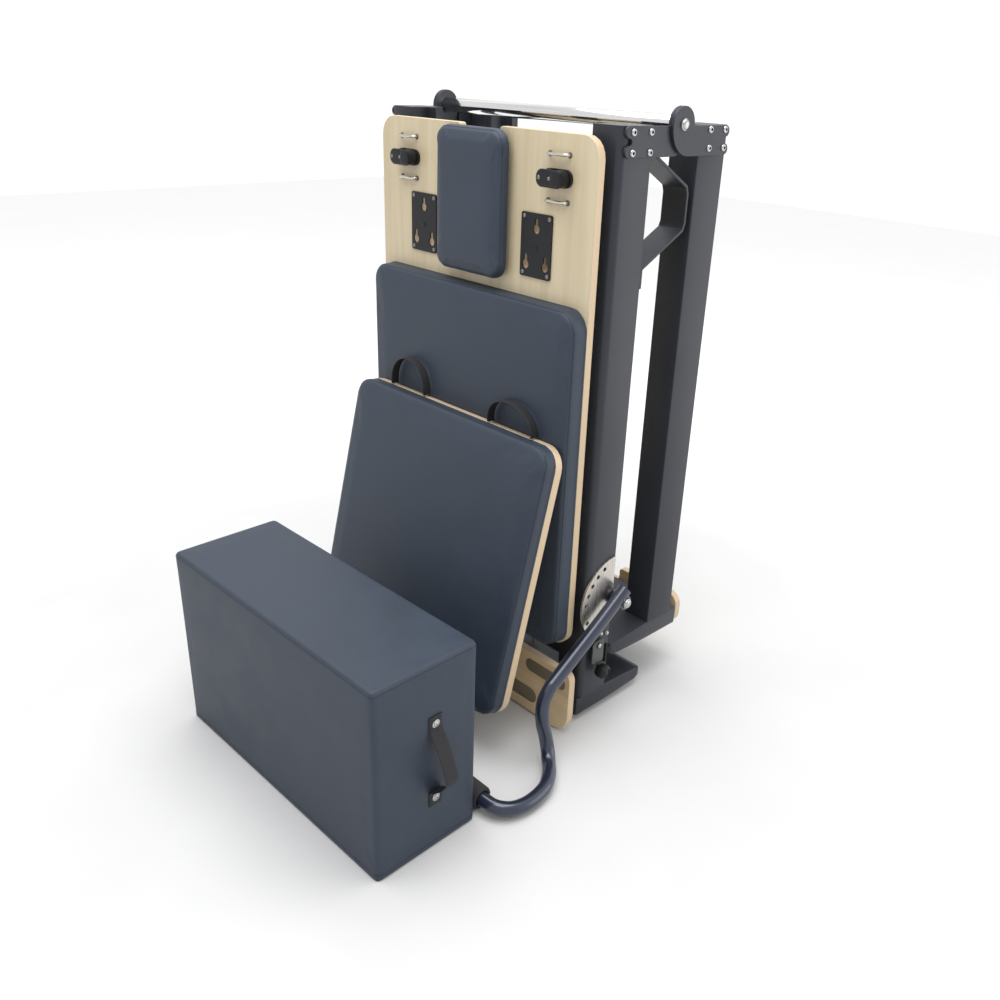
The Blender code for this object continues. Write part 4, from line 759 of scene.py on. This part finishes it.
def rounded_outline(width, height, radius, corner_steps, side_steps=1):
    """Rounded rectangle about its centre, with its long sides divided."""
    outline = []
    for quadrant, (sx, sy) in enumerate(((1, 1), (-1, 1), (-1, -1), (1, -1))):
        centre = (sx * (width / 2 - radius), sy * (height / 2 - radius))
        for step in range(corner_steps + 1):
            angle = math.pi / 2 * (quadrant + step / corner_steps)
            outline.append((centre[0] + radius * math.cos(angle), centre[1] + radius * math.sin(angle)))
    if side_steps == 1:
        return outline
    divided = []
    for index, point in enumerate(outline):
        following = outline[(index + 1) % len(outline)]
        divided.append(point)
        if index % (corner_steps + 1) == corner_steps:
            for step in range(1, side_steps):
                share = step / side_steps
                divided.append((
                    point[0] + (following[0] - point[0]) * share,
                    point[1] + (following[1] - point[1]) * share,
                ))
    return divided


def quarter_round(top, edge, steps):
    """Inset and lift of each level of a rounded edge that ends at the top."""
    angles = [math.pi / 2 * step / steps for step in range(1, steps + 1)]
    return [(edge * (1 - math.cos(angle)), top - edge + edge * math.sin(angle)) for angle in angles]


def pad_shape(width, height, thickness, radius, edge):
    """Closed pad with rounded front edges, its front towards minus Y.

    It starts a little behind zero, so that the evening out rounds no edge at its back.
    """
    levels = [(0.0, -0.008), (0.0, thickness - edge), *quarter_round(thickness, edge, 6)]
    return triangulated(rounded_plate(width, height, radius, levels, 8, 12))


def applied(piece):
    """Make what the modifiers show into the piece's own mesh."""
    graph = bpy.context.evaluated_depsgraph_get()
    mesh = bpy.data.meshes.new_from_object(piece.evaluated_get(graph))
    piece.modifiers.clear()
    piece.data = mesh


def remeshed(piece, voxel):
    """Even the mesh out to cells of one size, slightly smoothed."""
    remesh = piece.modifiers.new("even", "REMESH")
    with_values(remesh, mode="VOXEL", voxel_size=voxel, use_smooth_shade=True)
    applied(piece)
    with_values(piece.modifiers.new("soften", "SMOOTH"), factor=0.5, iterations=2)
    applied(piece)


def domed(piece, width, height, thickness, rise):
    """Raise the middle of a pad's front like a pillow, and leave its sides where they are."""
    for vertex in piece.data.vertices:
        share = max(-vertex.co.y / thickness, 0.0)
        across = max(1 - (2 * vertex.co.x / width) ** 2, 0.0)
        along = max(1 - (2 * vertex.co.z / height) ** 2, 0.0)
        vertex.co.y -= rise * share * math.sqrt(across * along)
    piece.data.update()


def swollen(piece, held, reach):
    """Let cloth pressure swell a closed pad, by no more than the reach at any point."""
    mesh = piece.data
    rest = [vertex.co.copy() for vertex in mesh.vertices]
    group = piece.vertex_groups.new(name="resting")
    group.add([index for index, point in enumerate(rest) if held(point)], 1.0, "REPLACE")
    cloth = piece.modifiers.new("swell", "CLOTH")
    with_values(cloth.settings, quality=5, use_pressure=True, vertex_group_mass=group.name)
    cloth.settings.uniform_pressure_force = CLOTH_PRESSURE
    cloth.settings.effector_weights.gravity = 0.0
    scene = bpy.context.scene
    for step in range(1, CLOTH_FRAMES + 1):
        scene.frame_set(step)
    graph = bpy.context.evaluated_depsgraph_get()
    evaluated = piece.evaluated_get(graph)
    blown = [vertex.co.copy() for vertex in evaluated.data.vertices]
    piece.modifiers.clear()
    scene.frame_set(1)
    for vertex, start, end in zip(mesh.vertices, rest, blown):
        move = end - start
        if move.length > 1e-9:
            vertex.co = start + move.normalized() * reach * math.tanh(move.length / reach)
    mesh.update()


def kept_inside(piece, low, high):
    """Hold every point in a box given in the piece's own axes."""
    for vertex in piece.data.vertices:
        for axis in range(3):
            vertex.co[axis] = min(max(vertex.co[axis], low[axis]), high[axis])
    piece.data.update()


def sewn(piece, paths, depth, width):
    """Pull the surface in along seams, and return the seams laid on the surface."""
    points = [point for path in paths for point in path]
    tree = KDTree(len(points))
    for index, point in enumerate(points):
        tree.insert(point, index)
    tree.balance()
    normals = [vertex.normal.copy() for vertex in piece.data.vertices]
    for vertex, normal in zip(piece.data.vertices, normals):
        distance = tree.find(vertex.co)[2]
        vertex.co -= normal * depth * math.exp(-((distance / width) ** 2))
    piece.data.update()
    surface = BVHTree.FromPolygons(
        [vertex.co for vertex in piece.data.vertices], [tuple(face.vertices) for face in piece.data.polygons]
    )
    return [[surface.find_nearest(point)[0] for point in path] for path in paths]


def upholstered(piece, node, place, seams, seam_name):
    """Put a finished cover in its node's place, with its seams laid on it."""
    with_values(piece.modifiers.new("finer", "SUBSURF"), levels=1, render_levels=1)
    piece.matrix_world = place
    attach(piece, body_of(node))
    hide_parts(node)
    seam = moved(merged([swept(path, SEAM_RADIUS, 6, True) for path in seams]), place)
    build(seam_name, seam, SEAM, body_of(node))


def padded_piece(name, node, size, radius, place, voxel, edge=PAD_EDGE, rise=0.0):
    """Upholstered pad in the space of a CAD pad, with its seam round the front edge."""
    width, height, thickness = size
    rim = thickness - PAD_CROWN - rise
    shape = pad_shape(width + PAD_SLACK, height + PAD_SLACK, rim, radius, edge)
    piece = build(name, shape, SLATE, None, (), None)
    remeshed(piece, voxel)
    domed(piece, width, height, rim, rise)
    swollen(piece, lambda point: point.y > -0.003, PAD_SWELL)
    kept_inside(piece, (-width / 2, -thickness, -height / 2), (width / 2, -0.0002, height / 2))
    depth = rim - edge * 0.5
    outline = rounded_outline(width - 0.002, height - 0.002, radius, 10, 60)
    seams = sewn(piece, [[Vector((u, -depth, v)) for u, v in outline]], 0.0007, 0.005)
    upholstered(piece, node, place, seams, name + "_seam")


def upright_place(node, lift):
    """Middle of a node's back face, moved towards its front by the lift."""
    middle = middle_of(node)
    return Matrix.Translation((middle.x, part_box(node)[1].y - lift, middle.z))


def dress_headrest_backing(low, high):
    """Plain board that holds the headrest off the carriage."""
    width = high.x - low.x - 2 * HEADREST_BACKING_INSET
    height = high.z - low.z - 2 * HEADREST_BACKING_INSET
    board = rounded_plate(width, height, 0.016, ((0.0, 0.0), (0.0, HEADREST_LIFT + 0.002)), 6)
    board = moved(board, upright_place("headrest", 0.0))
    build("headrest_backing", board, PLASTIC, body_of("headrest"))


def dress_pads():
    """The three upholstered pads, and the headrest's backing."""
    for node, radius, voxel, lift, edge, rise in (
        ("carriage_pad", PAD_CORNER, PAD_VOXEL, 0.0, PAD_EDGE, 0.0),
        ("headrest", HEADREST_CORNER, HEADREST_VOXEL, HEADREST_LIFT, HEADREST_EDGE, HEADREST_RISE),
    ):
        low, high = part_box(node)
        size = (high.x - low.x, high.z - low.z, high.y - low.y - lift)
        place = upright_place(node, lift)
        padded_piece(node + "_upholstery", node, size, radius, place, voxel, edge, rise)
    dress_headrest_backing(low, high)
    board_low, board_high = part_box("jump_board")
    pad_low, pad_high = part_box("jump_board_pad")
    width = pad_high.x - pad_low.x
    height = JUMP_LENGTH - (board_high.x - board_low.x - width)
    place = JUMP_PLACE @ Matrix.Translation((0.0, -JUMP_PLY - 0.0003, JUMP_LENGTH / 2))
    size = (width, height, JUMP_PAD_THICKNESS)
    padded_piece("jump_pad_upholstery", "jump_board_pad", size, JUMP_PAD_CORNER, place, PAD_VOXEL)


def box_place():
    """Where the sitting box stands: in the middle of its node, turned a little."""
    middle = middle_of("sitting_box")
    return Matrix.Translation((middle.x, middle.y, 0.0)) @ Matrix.Rotation(BOX_TURN, 4, "Z")


def dress_box():
    """Upholstered sitting box with one seam near its top edge and one near its bottom."""
    size = Vector(BOX_SIZE)
    rings = []
    top = size.z + 0.0005
    levels = [(BOX_EDGE * 0.5, -0.006), (0.0, BOX_EDGE), (0.0, top - BOX_EDGE)]
    levels += quarter_round(top, BOX_EDGE, 5)
    width = size.x - 0.0005
    depth = size.y - 0.0005
    for inset, height in levels:
        radius = BOX_CORNER - inset * 0.5
        outline = rounded_outline(width - 2 * inset, depth - 2 * inset, radius, 6, 10)
        rings.append([Vector((u, v, height)) for u, v in outline])
    shape = triangulated(skinned(rings))
    piece = build("sitting_box_upholstery", shape, SLATE, None, (), None)
    remeshed(piece, BOX_VOXEL)
    swollen(piece, lambda point: point.z < 0.004, BOX_SWELL)
    kept_inside(piece, (-size.x / 2, -size.y / 2, 0.0), (size.x / 2, size.y / 2, size.z))
    paths = []
    for height in (size.z - BOX_TOP_SEAM, BOX_BOTTOM_SEAM):
        outline = rounded_outline(size.x - 0.004, size.y - 0.004, BOX_CORNER, 10, 50)
        paths.append([Vector((u, v, height)) for u, v in outline])
    seams = sewn(piece, paths, 0.0006, 0.004)
    upholstered(piece, "sitting_box", box_place(), seams, "sitting_box_seam")


def dress_box_handle():
    """Webbing handle that bows out and sags, screwed on at both ends."""
    low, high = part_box("box_handle")
    place = box_place()
    face = HANDLE_FACE + WEBBING / 2
    points = [(face + bow, HANDLE_Y, high.z - drop) for bow, drop in HANDLE_UPPER]
    points.append((face + HANDLE_BOW, HANDLE_Y, (high.z + low.z) / 2 - 0.018))
    points += [(face + bow, HANDLE_Y, low.z + rise) for bow, rise in HANDLE_LOWER]
    shape = moved(strap(smooth_route(points, 5), (0, 1, 0), HANDLE_WIDTH, WEBBING), place)
    build("box_handle_webbing", shape, WEBBING_CLOTH, "sitting_box", ("box_handle",), 60.0)
    screws = []
    outer = face + WEBBING / 2
    for height in (high.z - HANDLE_SCREW_INSET, low.z + HANDLE_SCREW_INSET):
        washer = turned(((0.0085, 0.0), (0.0085, 0.0008), (0.008, 0.0012), (0.005, 0.0012)), 28)
        screws.append(placed(washer, (outer, HANDLE_Y, height), (1, 0, 0)))
        screws.append(placed(cross_screw(0.0052, 0.0024), (outer + 0.001, HANDLE_Y, height), (1, 0, 0)))
    build("box_handle_screws", moved(merged(screws), place), BOLT, "sitting_box")


def dress_jump_loops():
    """Webbing loops on the jump board's top edge, each with its own width, height and lean."""
    for index, (centre, width, height, lean) in enumerate(JUMP_LOOPS):
        points = [(-width / 2 + 0.003, -0.002)]
        for step in range(19):
            angle = math.pi * (1 - step / 18)
            across = width / 2 * math.cos(angle) + lean * math.sin(angle)
            points.append((across, height * math.sin(angle) ** 0.85))
        points.append((width / 2 - 0.003, -0.002))
        lift = 0.0003 + JUMP_LOOP_WIDTH / 2 * math.tan(JUMP_TILT) + WEBBING / 2
        place = JUMP_PLACE @ Matrix.Translation((centre, -JUMP_PLY * 0.75, JUMP_LENGTH + lift))
        place = place @ Matrix.Rotation(JUMP_TILT, 4, "X")
        route = [(u, 0.0, max(v, 0.0)) for u, v in points]
        shape = moved(strap(route, (0, 1, 0), JUMP_LOOP_WIDTH, WEBBING), place)
        node = "jump_board_loop_" + SIDES[index]
        build(node + "_webbing", shape, WEBBING_CLOTH, "jump_board", (node,), 60.0)


def dress_footbar():
    """Bent tube with its pivot bosses, and the foam grip on its straight run."""
    points = [(x, y + SHIFT, z) for x, y, z in FOOTBAR_ROUTE]
    right = smooth_route(points, 8)
    left = [Vector((-point.x, point.y, point.z)) for point in reversed(right)]
    shapes = [swept(right + left, FOOTBAR_RADIUS, 28)]
    pivot = (FOOTBAR_PIVOT[0] + SHIFT, FOOTBAR_PIVOT[1])
    for side in (-1, 1):
        shapes.append(placed(turned(FOOTBAR_BOSS, 32, True), (side * BOSS_FACE, *pivot), (side, 0, 0)))
    build("footbar_tube", merged(shapes), GLOSS, "footbar", ("footbar",), 50.0)

    low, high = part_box("footbar_grip")
    radius = radius_of("footbar_grip")
    bore = FOOTBAR_RADIUS + 0.0006
    end = [(bore, 0.002), (bore + 0.002, 0.0), (radius - 0.005, 0.0), (radius - 0.0015, 0.0015)]
    end.append((radius, 0.005))
    middle = [(radius, (high.x - low.x) * share) for share in (0.25, 0.5, 0.75)]
    grip = tube_across("footbar_grip", end, 40, middle)
    piece = build("footbar_foam", grip, FOAM, "footbar", ("footbar_grip",))


def dress_springs():
    """Coils hooked between bar and carriage."""
    steps = SPRING_CURLS * SPRING_CURL_POINTS
    for index in range(4):
        node = f"spring_{index + 1}"
        low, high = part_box(node)
        x, y = middle_of(node).xy
        radius = (high.x - low.x) / 2 - SPRING_WIRE
        bottom, top = low.z + SPRING_HOOK, high.z - SPRING_HOOK
        route = [(x, y, low.z), (x, y, low.z + 0.012), (x + radius * 0.6, y, low.z + 0.018)]
        for step in range(steps + 1):
            angle = 2 * math.pi * step / SPRING_CURL_POINTS
            height = bottom + (top - bottom) * (step / steps)
            route.append((x + radius * math.cos(angle), y + radius * math.sin(angle), height))
        route += [(x + radius * 0.6, y, high.z - 0.018), (x, y, high.z - 0.012), (x, y, high.z)]
        coil = build(node + "_coil", swept(route, SPRING_WIRE, 8), BOLT, None, (), 60.0)
        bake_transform(coil)
        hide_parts(node)


def dress_wheels():
    """Carriage wheels with a raised rim and hub on both faces."""
    for level in ("lower", "upper"):
        for name in SIDES:
            node = f"wheel_{level}_{name}"
            end = [(WHEEL_BORE, 0.001)]
            end += [(radius_of(node) * share, depth) for share, depth in WHEEL_FACE]
            build(node + "_tyre", tube_across(node, end, 48), TYRE, node, (node,))


def dress_rope_loops():
    """Bent wire loops with a dark collar round each foot."""
    for level in ("lower", "upper"):
        for name in SIDES:
            node = f"rope_loop_{level}_{name}"
            low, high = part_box(node)
            z = (low.z + high.z) / 2
            left, right = low.x + LOOP_WIRE, high.x - LOOP_WIRE
            front, back = low.y + LOOP_WIRE, high.y
            knee = (front + back) / 2 + 0.002
            route = [(left, back, z), (left, knee, z)]
            for centre, start in ((left + LOOP_BEND, math.pi), (right - LOOP_BEND, math.pi * 1.5)):
                for step in range(7):
                    angle = start + math.pi / 2 * step / 6
                    across = centre + LOOP_BEND * math.cos(angle)
                    route.append((across, front + LOOP_BEND + LOOP_BEND * math.sin(angle), z))
            route += [(right, knee, z), (right, back, z)]
            wire = swept(route, LOOP_WIRE, 16)
            build(node + "_wire", wire, WIRE, "carriage", (node,), 60.0)
            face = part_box("carriage_board")[0].y
            feet = [placed(turned(LOOP_COLLAR, 24), (x, face, z), (0, -1, 0)) for x in (left, right)]
            build(node + "_feet", merged(feet), LEVER, "carriage")


def cleat_shell(side, front, back):
    """Wall that wraps one cam and stays open towards the throat."""
    bend = []
    base = side * SHELL_CENTRE
    for step in range(17):
        angle = math.pi / 2 + math.pi * step / 16
        if side > 0:
            angle = math.pi - angle
        across, up = math.cos(angle), math.sin(angle)
        inner = (base + across * SHELL_INNER, up * SHELL_INNER)
        bend.append((*inner, base + across * SHELL_OUTER, up * SHELL_OUTER))
    first, last = [(side * SHELL_END, row[1], side * SHELL_END, row[3]) for row in (bend[0], bend[-1])]
    return skinned([
        [
            Vector((u, front, v)), Vector((far_u, front, far_v)),
            Vector((far_u, back, far_v)), Vector((u, back, v)),
        ]
        for u, v, far_u, far_v in (first, *bend, last)
    ])


def cleat_lid():
    """Lid over both cams, higher and squarer at its right end."""
    levels = ((0.0, 0.0), (0.0, 0.0018), (0.0012, 0.0028), (0.004, 0.0033))
    lid = rounded_plate(0.066, 0.031, 0.0145, levels, 10)
    levels = ((0.0, 0.0030), (0.0, 0.0048), (0.0015, 0.0060), (0.004, 0.0064))
    block = rounded_plate(0.027, 0.029, 0.008, levels, 5)
    return merged([lid, moved(block, Matrix.Translation((0.0185, 0.0, 0.0)))])


def dress_cleats():
    """Lids, walls and screws of the cleats."""
    for name in SIDES:
        low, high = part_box("cleat_base_" + name)
        centre = middle_of("cleat_base_" + name)
        base_front = high.y - 0.006
        lid_back = low.y - 0.0003
        place = Matrix.Translation((centre.x, 0.0, centre.z))
        shapes = [moved(cleat_lid(), Matrix.Translation((0.0, lid_back, 0.0)))]
        for side in (-1, 1):
            shapes.append(cleat_shell(side, lid_back - 0.0005, base_front - 0.0003))
        cover = moved(merged(shapes), place)
        build(f"cleat_cover_{name}", cover, PLASTIC, "carriage", (), 35.0)
        left_screw = (centre.x - 0.0255, lid_back - 0.003, centre.z)
        middle_screw = (centre.x + 0.0005, lid_back - 0.003, centre.z)
        screws = [
            placed(cross_screw(0.0040, 0.0014), left_screw, (0, -1, 0)),
            placed(dome_bolt(0.0034, 0.0014), middle_screw, (0, -1, 0)),
        ]
        build(f"cleat_screws_{name}", merged(screws), SCREW, "carriage")


def dress_hinges():
    """Bolts on the four hinge plates with black fills in their sockets as painted shade, and domed ends on
    the hinge pins.
    """
    for side, name in zip((-1, 1), SIDES):
        front_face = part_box("front_hinge_plate_right")[1].x * side
        rear_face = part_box("rear_hinge_plate_right")[1].x * side
        for half, body, face, spots in (
            ("front", "frame", front_face, FRONT_HINGE_BOLTS),
            ("rear", "rear_half", rear_face, REAR_HINGE_BOLTS),
        ):
            points = [(face, y + SHIFT, z) for y, z in spots]
            heads = heads_at(socket_bolt, 0.0067, 0.0032, points, (side, 0, 0))
            # Black fills in the bolt sockets: painted shade at their bottoms.
            socket_shades = heads_at(socket_shade_plug, 0.0034, 0.0014, points, (side, 0, 0))
            build(f"{half}_hinge_bolts_{name}", heads, BOLT, body)
            build(f"{half}_hinge_socket_shades_{name}", socket_shades, PLASTIC, body)
        node = "hinge_pin_" + name
        low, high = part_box(node)
        centre = middle_of(node).yz
        outer, inner = (high.x, low.x) if side > 0 else (low.x, high.x)
        neck = (outer - side * 0.0035, *centre)
        head = placed(dome_bolt(0.0105, 0.0065), neck, (side, 0, 0))
        shank = swept([neck, (inner, *centre)], 0.006, 24)
        build(node + "_turned", merged([head, shank]), BOLT, "frame", (node,))


def dress_hinge_rod():
    """Polished tube between the hinges, with softened ends."""
    radius = radius_of("hinge_rod")
    end = [(radius - 0.002, 0.0), (radius - 0.0004, 0.0), (radius, 0.0006)]
    build("hinge_rod_polished", tube_across("hinge_rod", end, 64), CHROMED, "frame", ("hinge_rod",))


def dress_socket_plates():
    """Corner screws and the small ring in the middle of the shoulder rest sockets."""
    for name in SIDES:
        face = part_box("socket_plate_" + name)[0].y
        centre = middle_of("socket_plate_" + name)
        points = [(centre.x + u, face, centre.z + v) for u, v in SOCKET_SCREWS]
        heads = heads_at(cross_screw, 0.0042, 0.0014, points, (0, -1, 0))
        build(f"socket_screws_{name}", heads, SCREW, "carriage")
        ring = placed(turned(SOCKET_RING, 24), (centre.x, face, centre.z - 0.004), (0, -1, 0))
        build(f"socket_centre_{name}", ring, PLASTIC, "carriage")


def dress_platform():
    """Grip strips on the foot platform."""
    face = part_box("foot_platform")[0].y
    strips = []
    levels = ((0.0, -0.0002), (0.0, 0.0006), (0.0008, 0.0011))
    for low_x, high_x, low_z, high_z in GRIP_STRIPS:
        width, height = high_x - low_x, high_z - low_z
        strip = rounded_plate(width, height, height / 2 - 0.001, levels, 10)
        place = Matrix.Translation(((low_x + high_x) / 2, face, (low_z + high_z) / 2))
        strips.append(moved(strip, place))
    build("platform_grip_strips", merged(strips), TREAD, "frame")


def dress_index_bolts():
    """Capped bolt ends where the footbar turns."""
    for side, name in zip((-1, 1), SIDES):
        pivot = (FOOTBAR_PIVOT[0] + SHIFT, FOOTBAR_PIVOT[1])
        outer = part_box("index_plate_right")[1].x
        cap = placed(dome_bolt(0.0112, 0.006), (side * (outer - 0.001), *pivot), (side, 0, 0))
        build(f"footbar_bolt_cap_{name}", cap, BOLT, "frame")


def dress_latch():
    """Painted lever with a ringed knob, and the bolts and strap round it."""
    stud = (LATCH_STUD[0] + SHIFT, LATCH_STUD[1])
    knob_y = KNOB_CENTRE[0] + SHIFT
    levels = ((0.0006, -0.0038), (0.0, -0.0032), (0.0, -0.0006), (0.0006, 0.0))
    place = Matrix.Translation((LEVER_FACE, stud[0], stud[1] - 0.017)) @ Matrix.Rotation(math.pi / 2, 4, "Z")
    plate = moved(rounded_plate(0.036, 0.057, 0.009, levels, 6), place)
    stem = turned(((0.006, 0.0), (0.006, 0.010)), 20)
    stem = placed(stem, (LEVER_FACE - 0.002, knob_y, KNOB_CENTRE[1] + 0.019), (0, 0, -1))
    lever = merged([plate, stem])
    build("latch_lever_plate", lever, LEVER, "latch_lever", ("latch_lever",))
    knob = placed(turned(KNOB_PROFILE, 40), (KNOB_FACE, knob_y, KNOB_CENTRE[1]), (1, 0, 0))
    build("latch_knob", knob, PLASTIC, "latch_lever", (), 50.0)
    base_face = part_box("latch_base")[0].x + 0.004
    heads = [placed(dome_bolt(0.0066, 0.0046), (LEVER_FACE + 0.0007, *stud), (1, 0, 0))]
    for y, z, radius in LATCH_BASE_BOLTS:
        heads.append(placed(dome_bolt(radius, radius * 0.8), (base_face, y + SHIFT, z), (1, 0, 0)))
    for y, z, radius in LATCH_RAIL_BOLTS:
        heads.append(placed(dome_bolt(radius, radius * 0.9), (RAIL_FACE, y + SHIFT, z), (1, 0, 0)))
    build("latch_bolts", merged(heads), BOLT, "frame")
    stay = [(RAIL_FACE + 0.0014, 0.0775 + SHIFT, height) for height in (0.172, 0.126)]
    build("latch_strap", swept(stay, 0.0042, 4), RUBBER, "frame")


# Hard pieces by material and edge rounding. A name that ends in an underscore has both sides.
HARD_PARTS = (
    (FRAME_PAINT, 0.0006, (
        "front_rail_", "rear_rail_", "carriage_beam_lower", "carriage_beam_upper", "platform_bracket",
        "head_board_bracket", "spring_bar", "jump_board_posts", "latch_base",
    )),
    (FRAME_PAINT, 0.0009, ("front_hinge_plate_", "rear_hinge_plate_")),
    (FRAME_PAINT, 0.0012, ("middle_leg_", "front_leg", "rear_leg")),
    (RUBBER, 0.0012, ("front_leg_base", "rear_leg_cap")),
    (BRUSHED, 0.0005, ("index_plate_",)),
    (PLASTIC, 0.0005, ("socket_plate_",)),
    (PLASTIC, 0.0009, ("cleat_base_",)),
    (PLASTIC, 0.0008, ("cleat_cam_left_a", "cleat_cam_left_b", "cleat_cam_right_a", "cleat_cam_right_b")),
    (CARRIAGE_PLY, 0.0012, ("carriage_board",)),
    (PLATFORM_PLY, 0.0018, ("foot_platform",)),
    (HEAD_PLY, 0.0018, ("head_board",)),
    (JUMP_MAPLE, 0.0015, ("jump_board",)),
)


def dress_hard_parts():
    """Every part that keeps the frame's own shape."""
    for material, edge, names in HARD_PARTS:
        for name in names:
            for ending in SIDES if name.endswith("_") else ("",):
                softened(name + ending, material, edge)


def build_floor():
    """Floor that is darker near the machine, where the softboxes light it most."""
    shape = bmesh.new()
    bmesh.ops.create_grid(shape, x_segments=1, y_segments=1, size=FLOOR_REACH)
    material, tree, shader = shader_tree("studio_floor", FLOOR_TONE, 0.9)
    vector = mapped(tree)
    mottle = noise(tree, vector, 3.0, 3.0)
    near = tinted(tree, mottle, FLOOR_NEAR, FLOOR_NEAR_LIGHT)
    far = tinted(tree, mottle, FLOOR_FAR, FLOOR_FAR_LIGHT)
    distance = added(tree, "VectorMath", {0: vector}, operation="LENGTH").outputs["Value"]
    share = remapped(tree, distance, 0.0, 1.0, *FLOOR_BLEND)
    tree.links.new(mixed(tree, share, near, far), shader.inputs["Base Color"])
    floor = build("studio_floor", shape, material, None, (), None)
    floor.location.z = -FLOOR_GAP


def add_area(name, place, target, size, energy):
    lamp = bpy.data.lights.new(name, "AREA")
    lamp.shape = "RECTANGLE"
    lamp.size, lamp.size_y = size
    lamp.energy = energy
    holder = bpy.data.objects.new(name, lamp)
    holder.location = place
    holder.rotation_euler = (Vector(target) - Vector(place)).to_track_quat("-Z", "Y").to_euler()
    bpy.context.scene.collection.objects.link(holder)


def build_light():
    """White world that is a little dimmer in front of the machine, and two softboxes."""
    world = bpy.data.worlds.new("studio")
    world.use_nodes = True
    tree = world.node_tree
    background = tree.nodes["Background"]
    across = axes(tree, mapped(tree, source="Generated"))["Y"]
    tree.links.new(tinted(tree, across, WALL_NEAR, WHITE, 0.0, 0.25), background.inputs["Color"])
    background.inputs["Strength"].default_value = WORLD_STRENGTH
    bpy.context.scene.world = world
    bpy.context.scene.view_settings.view_transform = "Standard"
    for softbox in SOFTBOXES:
        add_area(*softbox)


def build_camera():
    """The photograph's camera."""
    yaw, pitch, roll = (math.radians(value) for value in (CAMERA_YAW, CAMERA_PITCH, CAMERA_ROLL))
    ahead = Vector((-math.sin(yaw) * math.cos(pitch), math.cos(yaw) * math.cos(pitch), -math.sin(pitch)))
    level = Vector((math.cos(yaw), math.sin(yaw), 0.0))
    above = level.cross(ahead)
    right = level * math.cos(roll) + above * math.sin(roll)
    up = above * math.cos(roll) - level * math.sin(roll)
    lens = bpy.data.cameras.new("photo_camera")
    with_values(lens, lens=CAMERA_LENS, sensor_width=CAMERA_SENSOR, clip_start=0.05, clip_end=60.0)
    lens.shift_x, lens.shift_y = CAMERA_SHIFT
    camera = bpy.data.objects.new("photo_camera", lens)
    turn = Matrix((right, up, -ahead)).transposed().to_4x4()
    place = Vector(CAMERA_PLACE) + Vector((0.0, SHIFT, 0.0))
    camera.matrix_world = Matrix.Translation(place) @ turn
    bpy.context.scene.collection.objects.link(camera)
    bpy.context.scene.camera = camera


build_camera()
build_light()
build_floor()
dress_hard_parts()
dress_pads()
dress_box()
dress_box_handle()
dress_jump_loops()
dress_footbar()
dress_springs()
dress_wheels()
dress_rope_loops()
dress_cleats()
dress_hinges()
dress_hinge_rod()
dress_socket_plates()
dress_platform()
dress_index_bolts()
dress_latch()
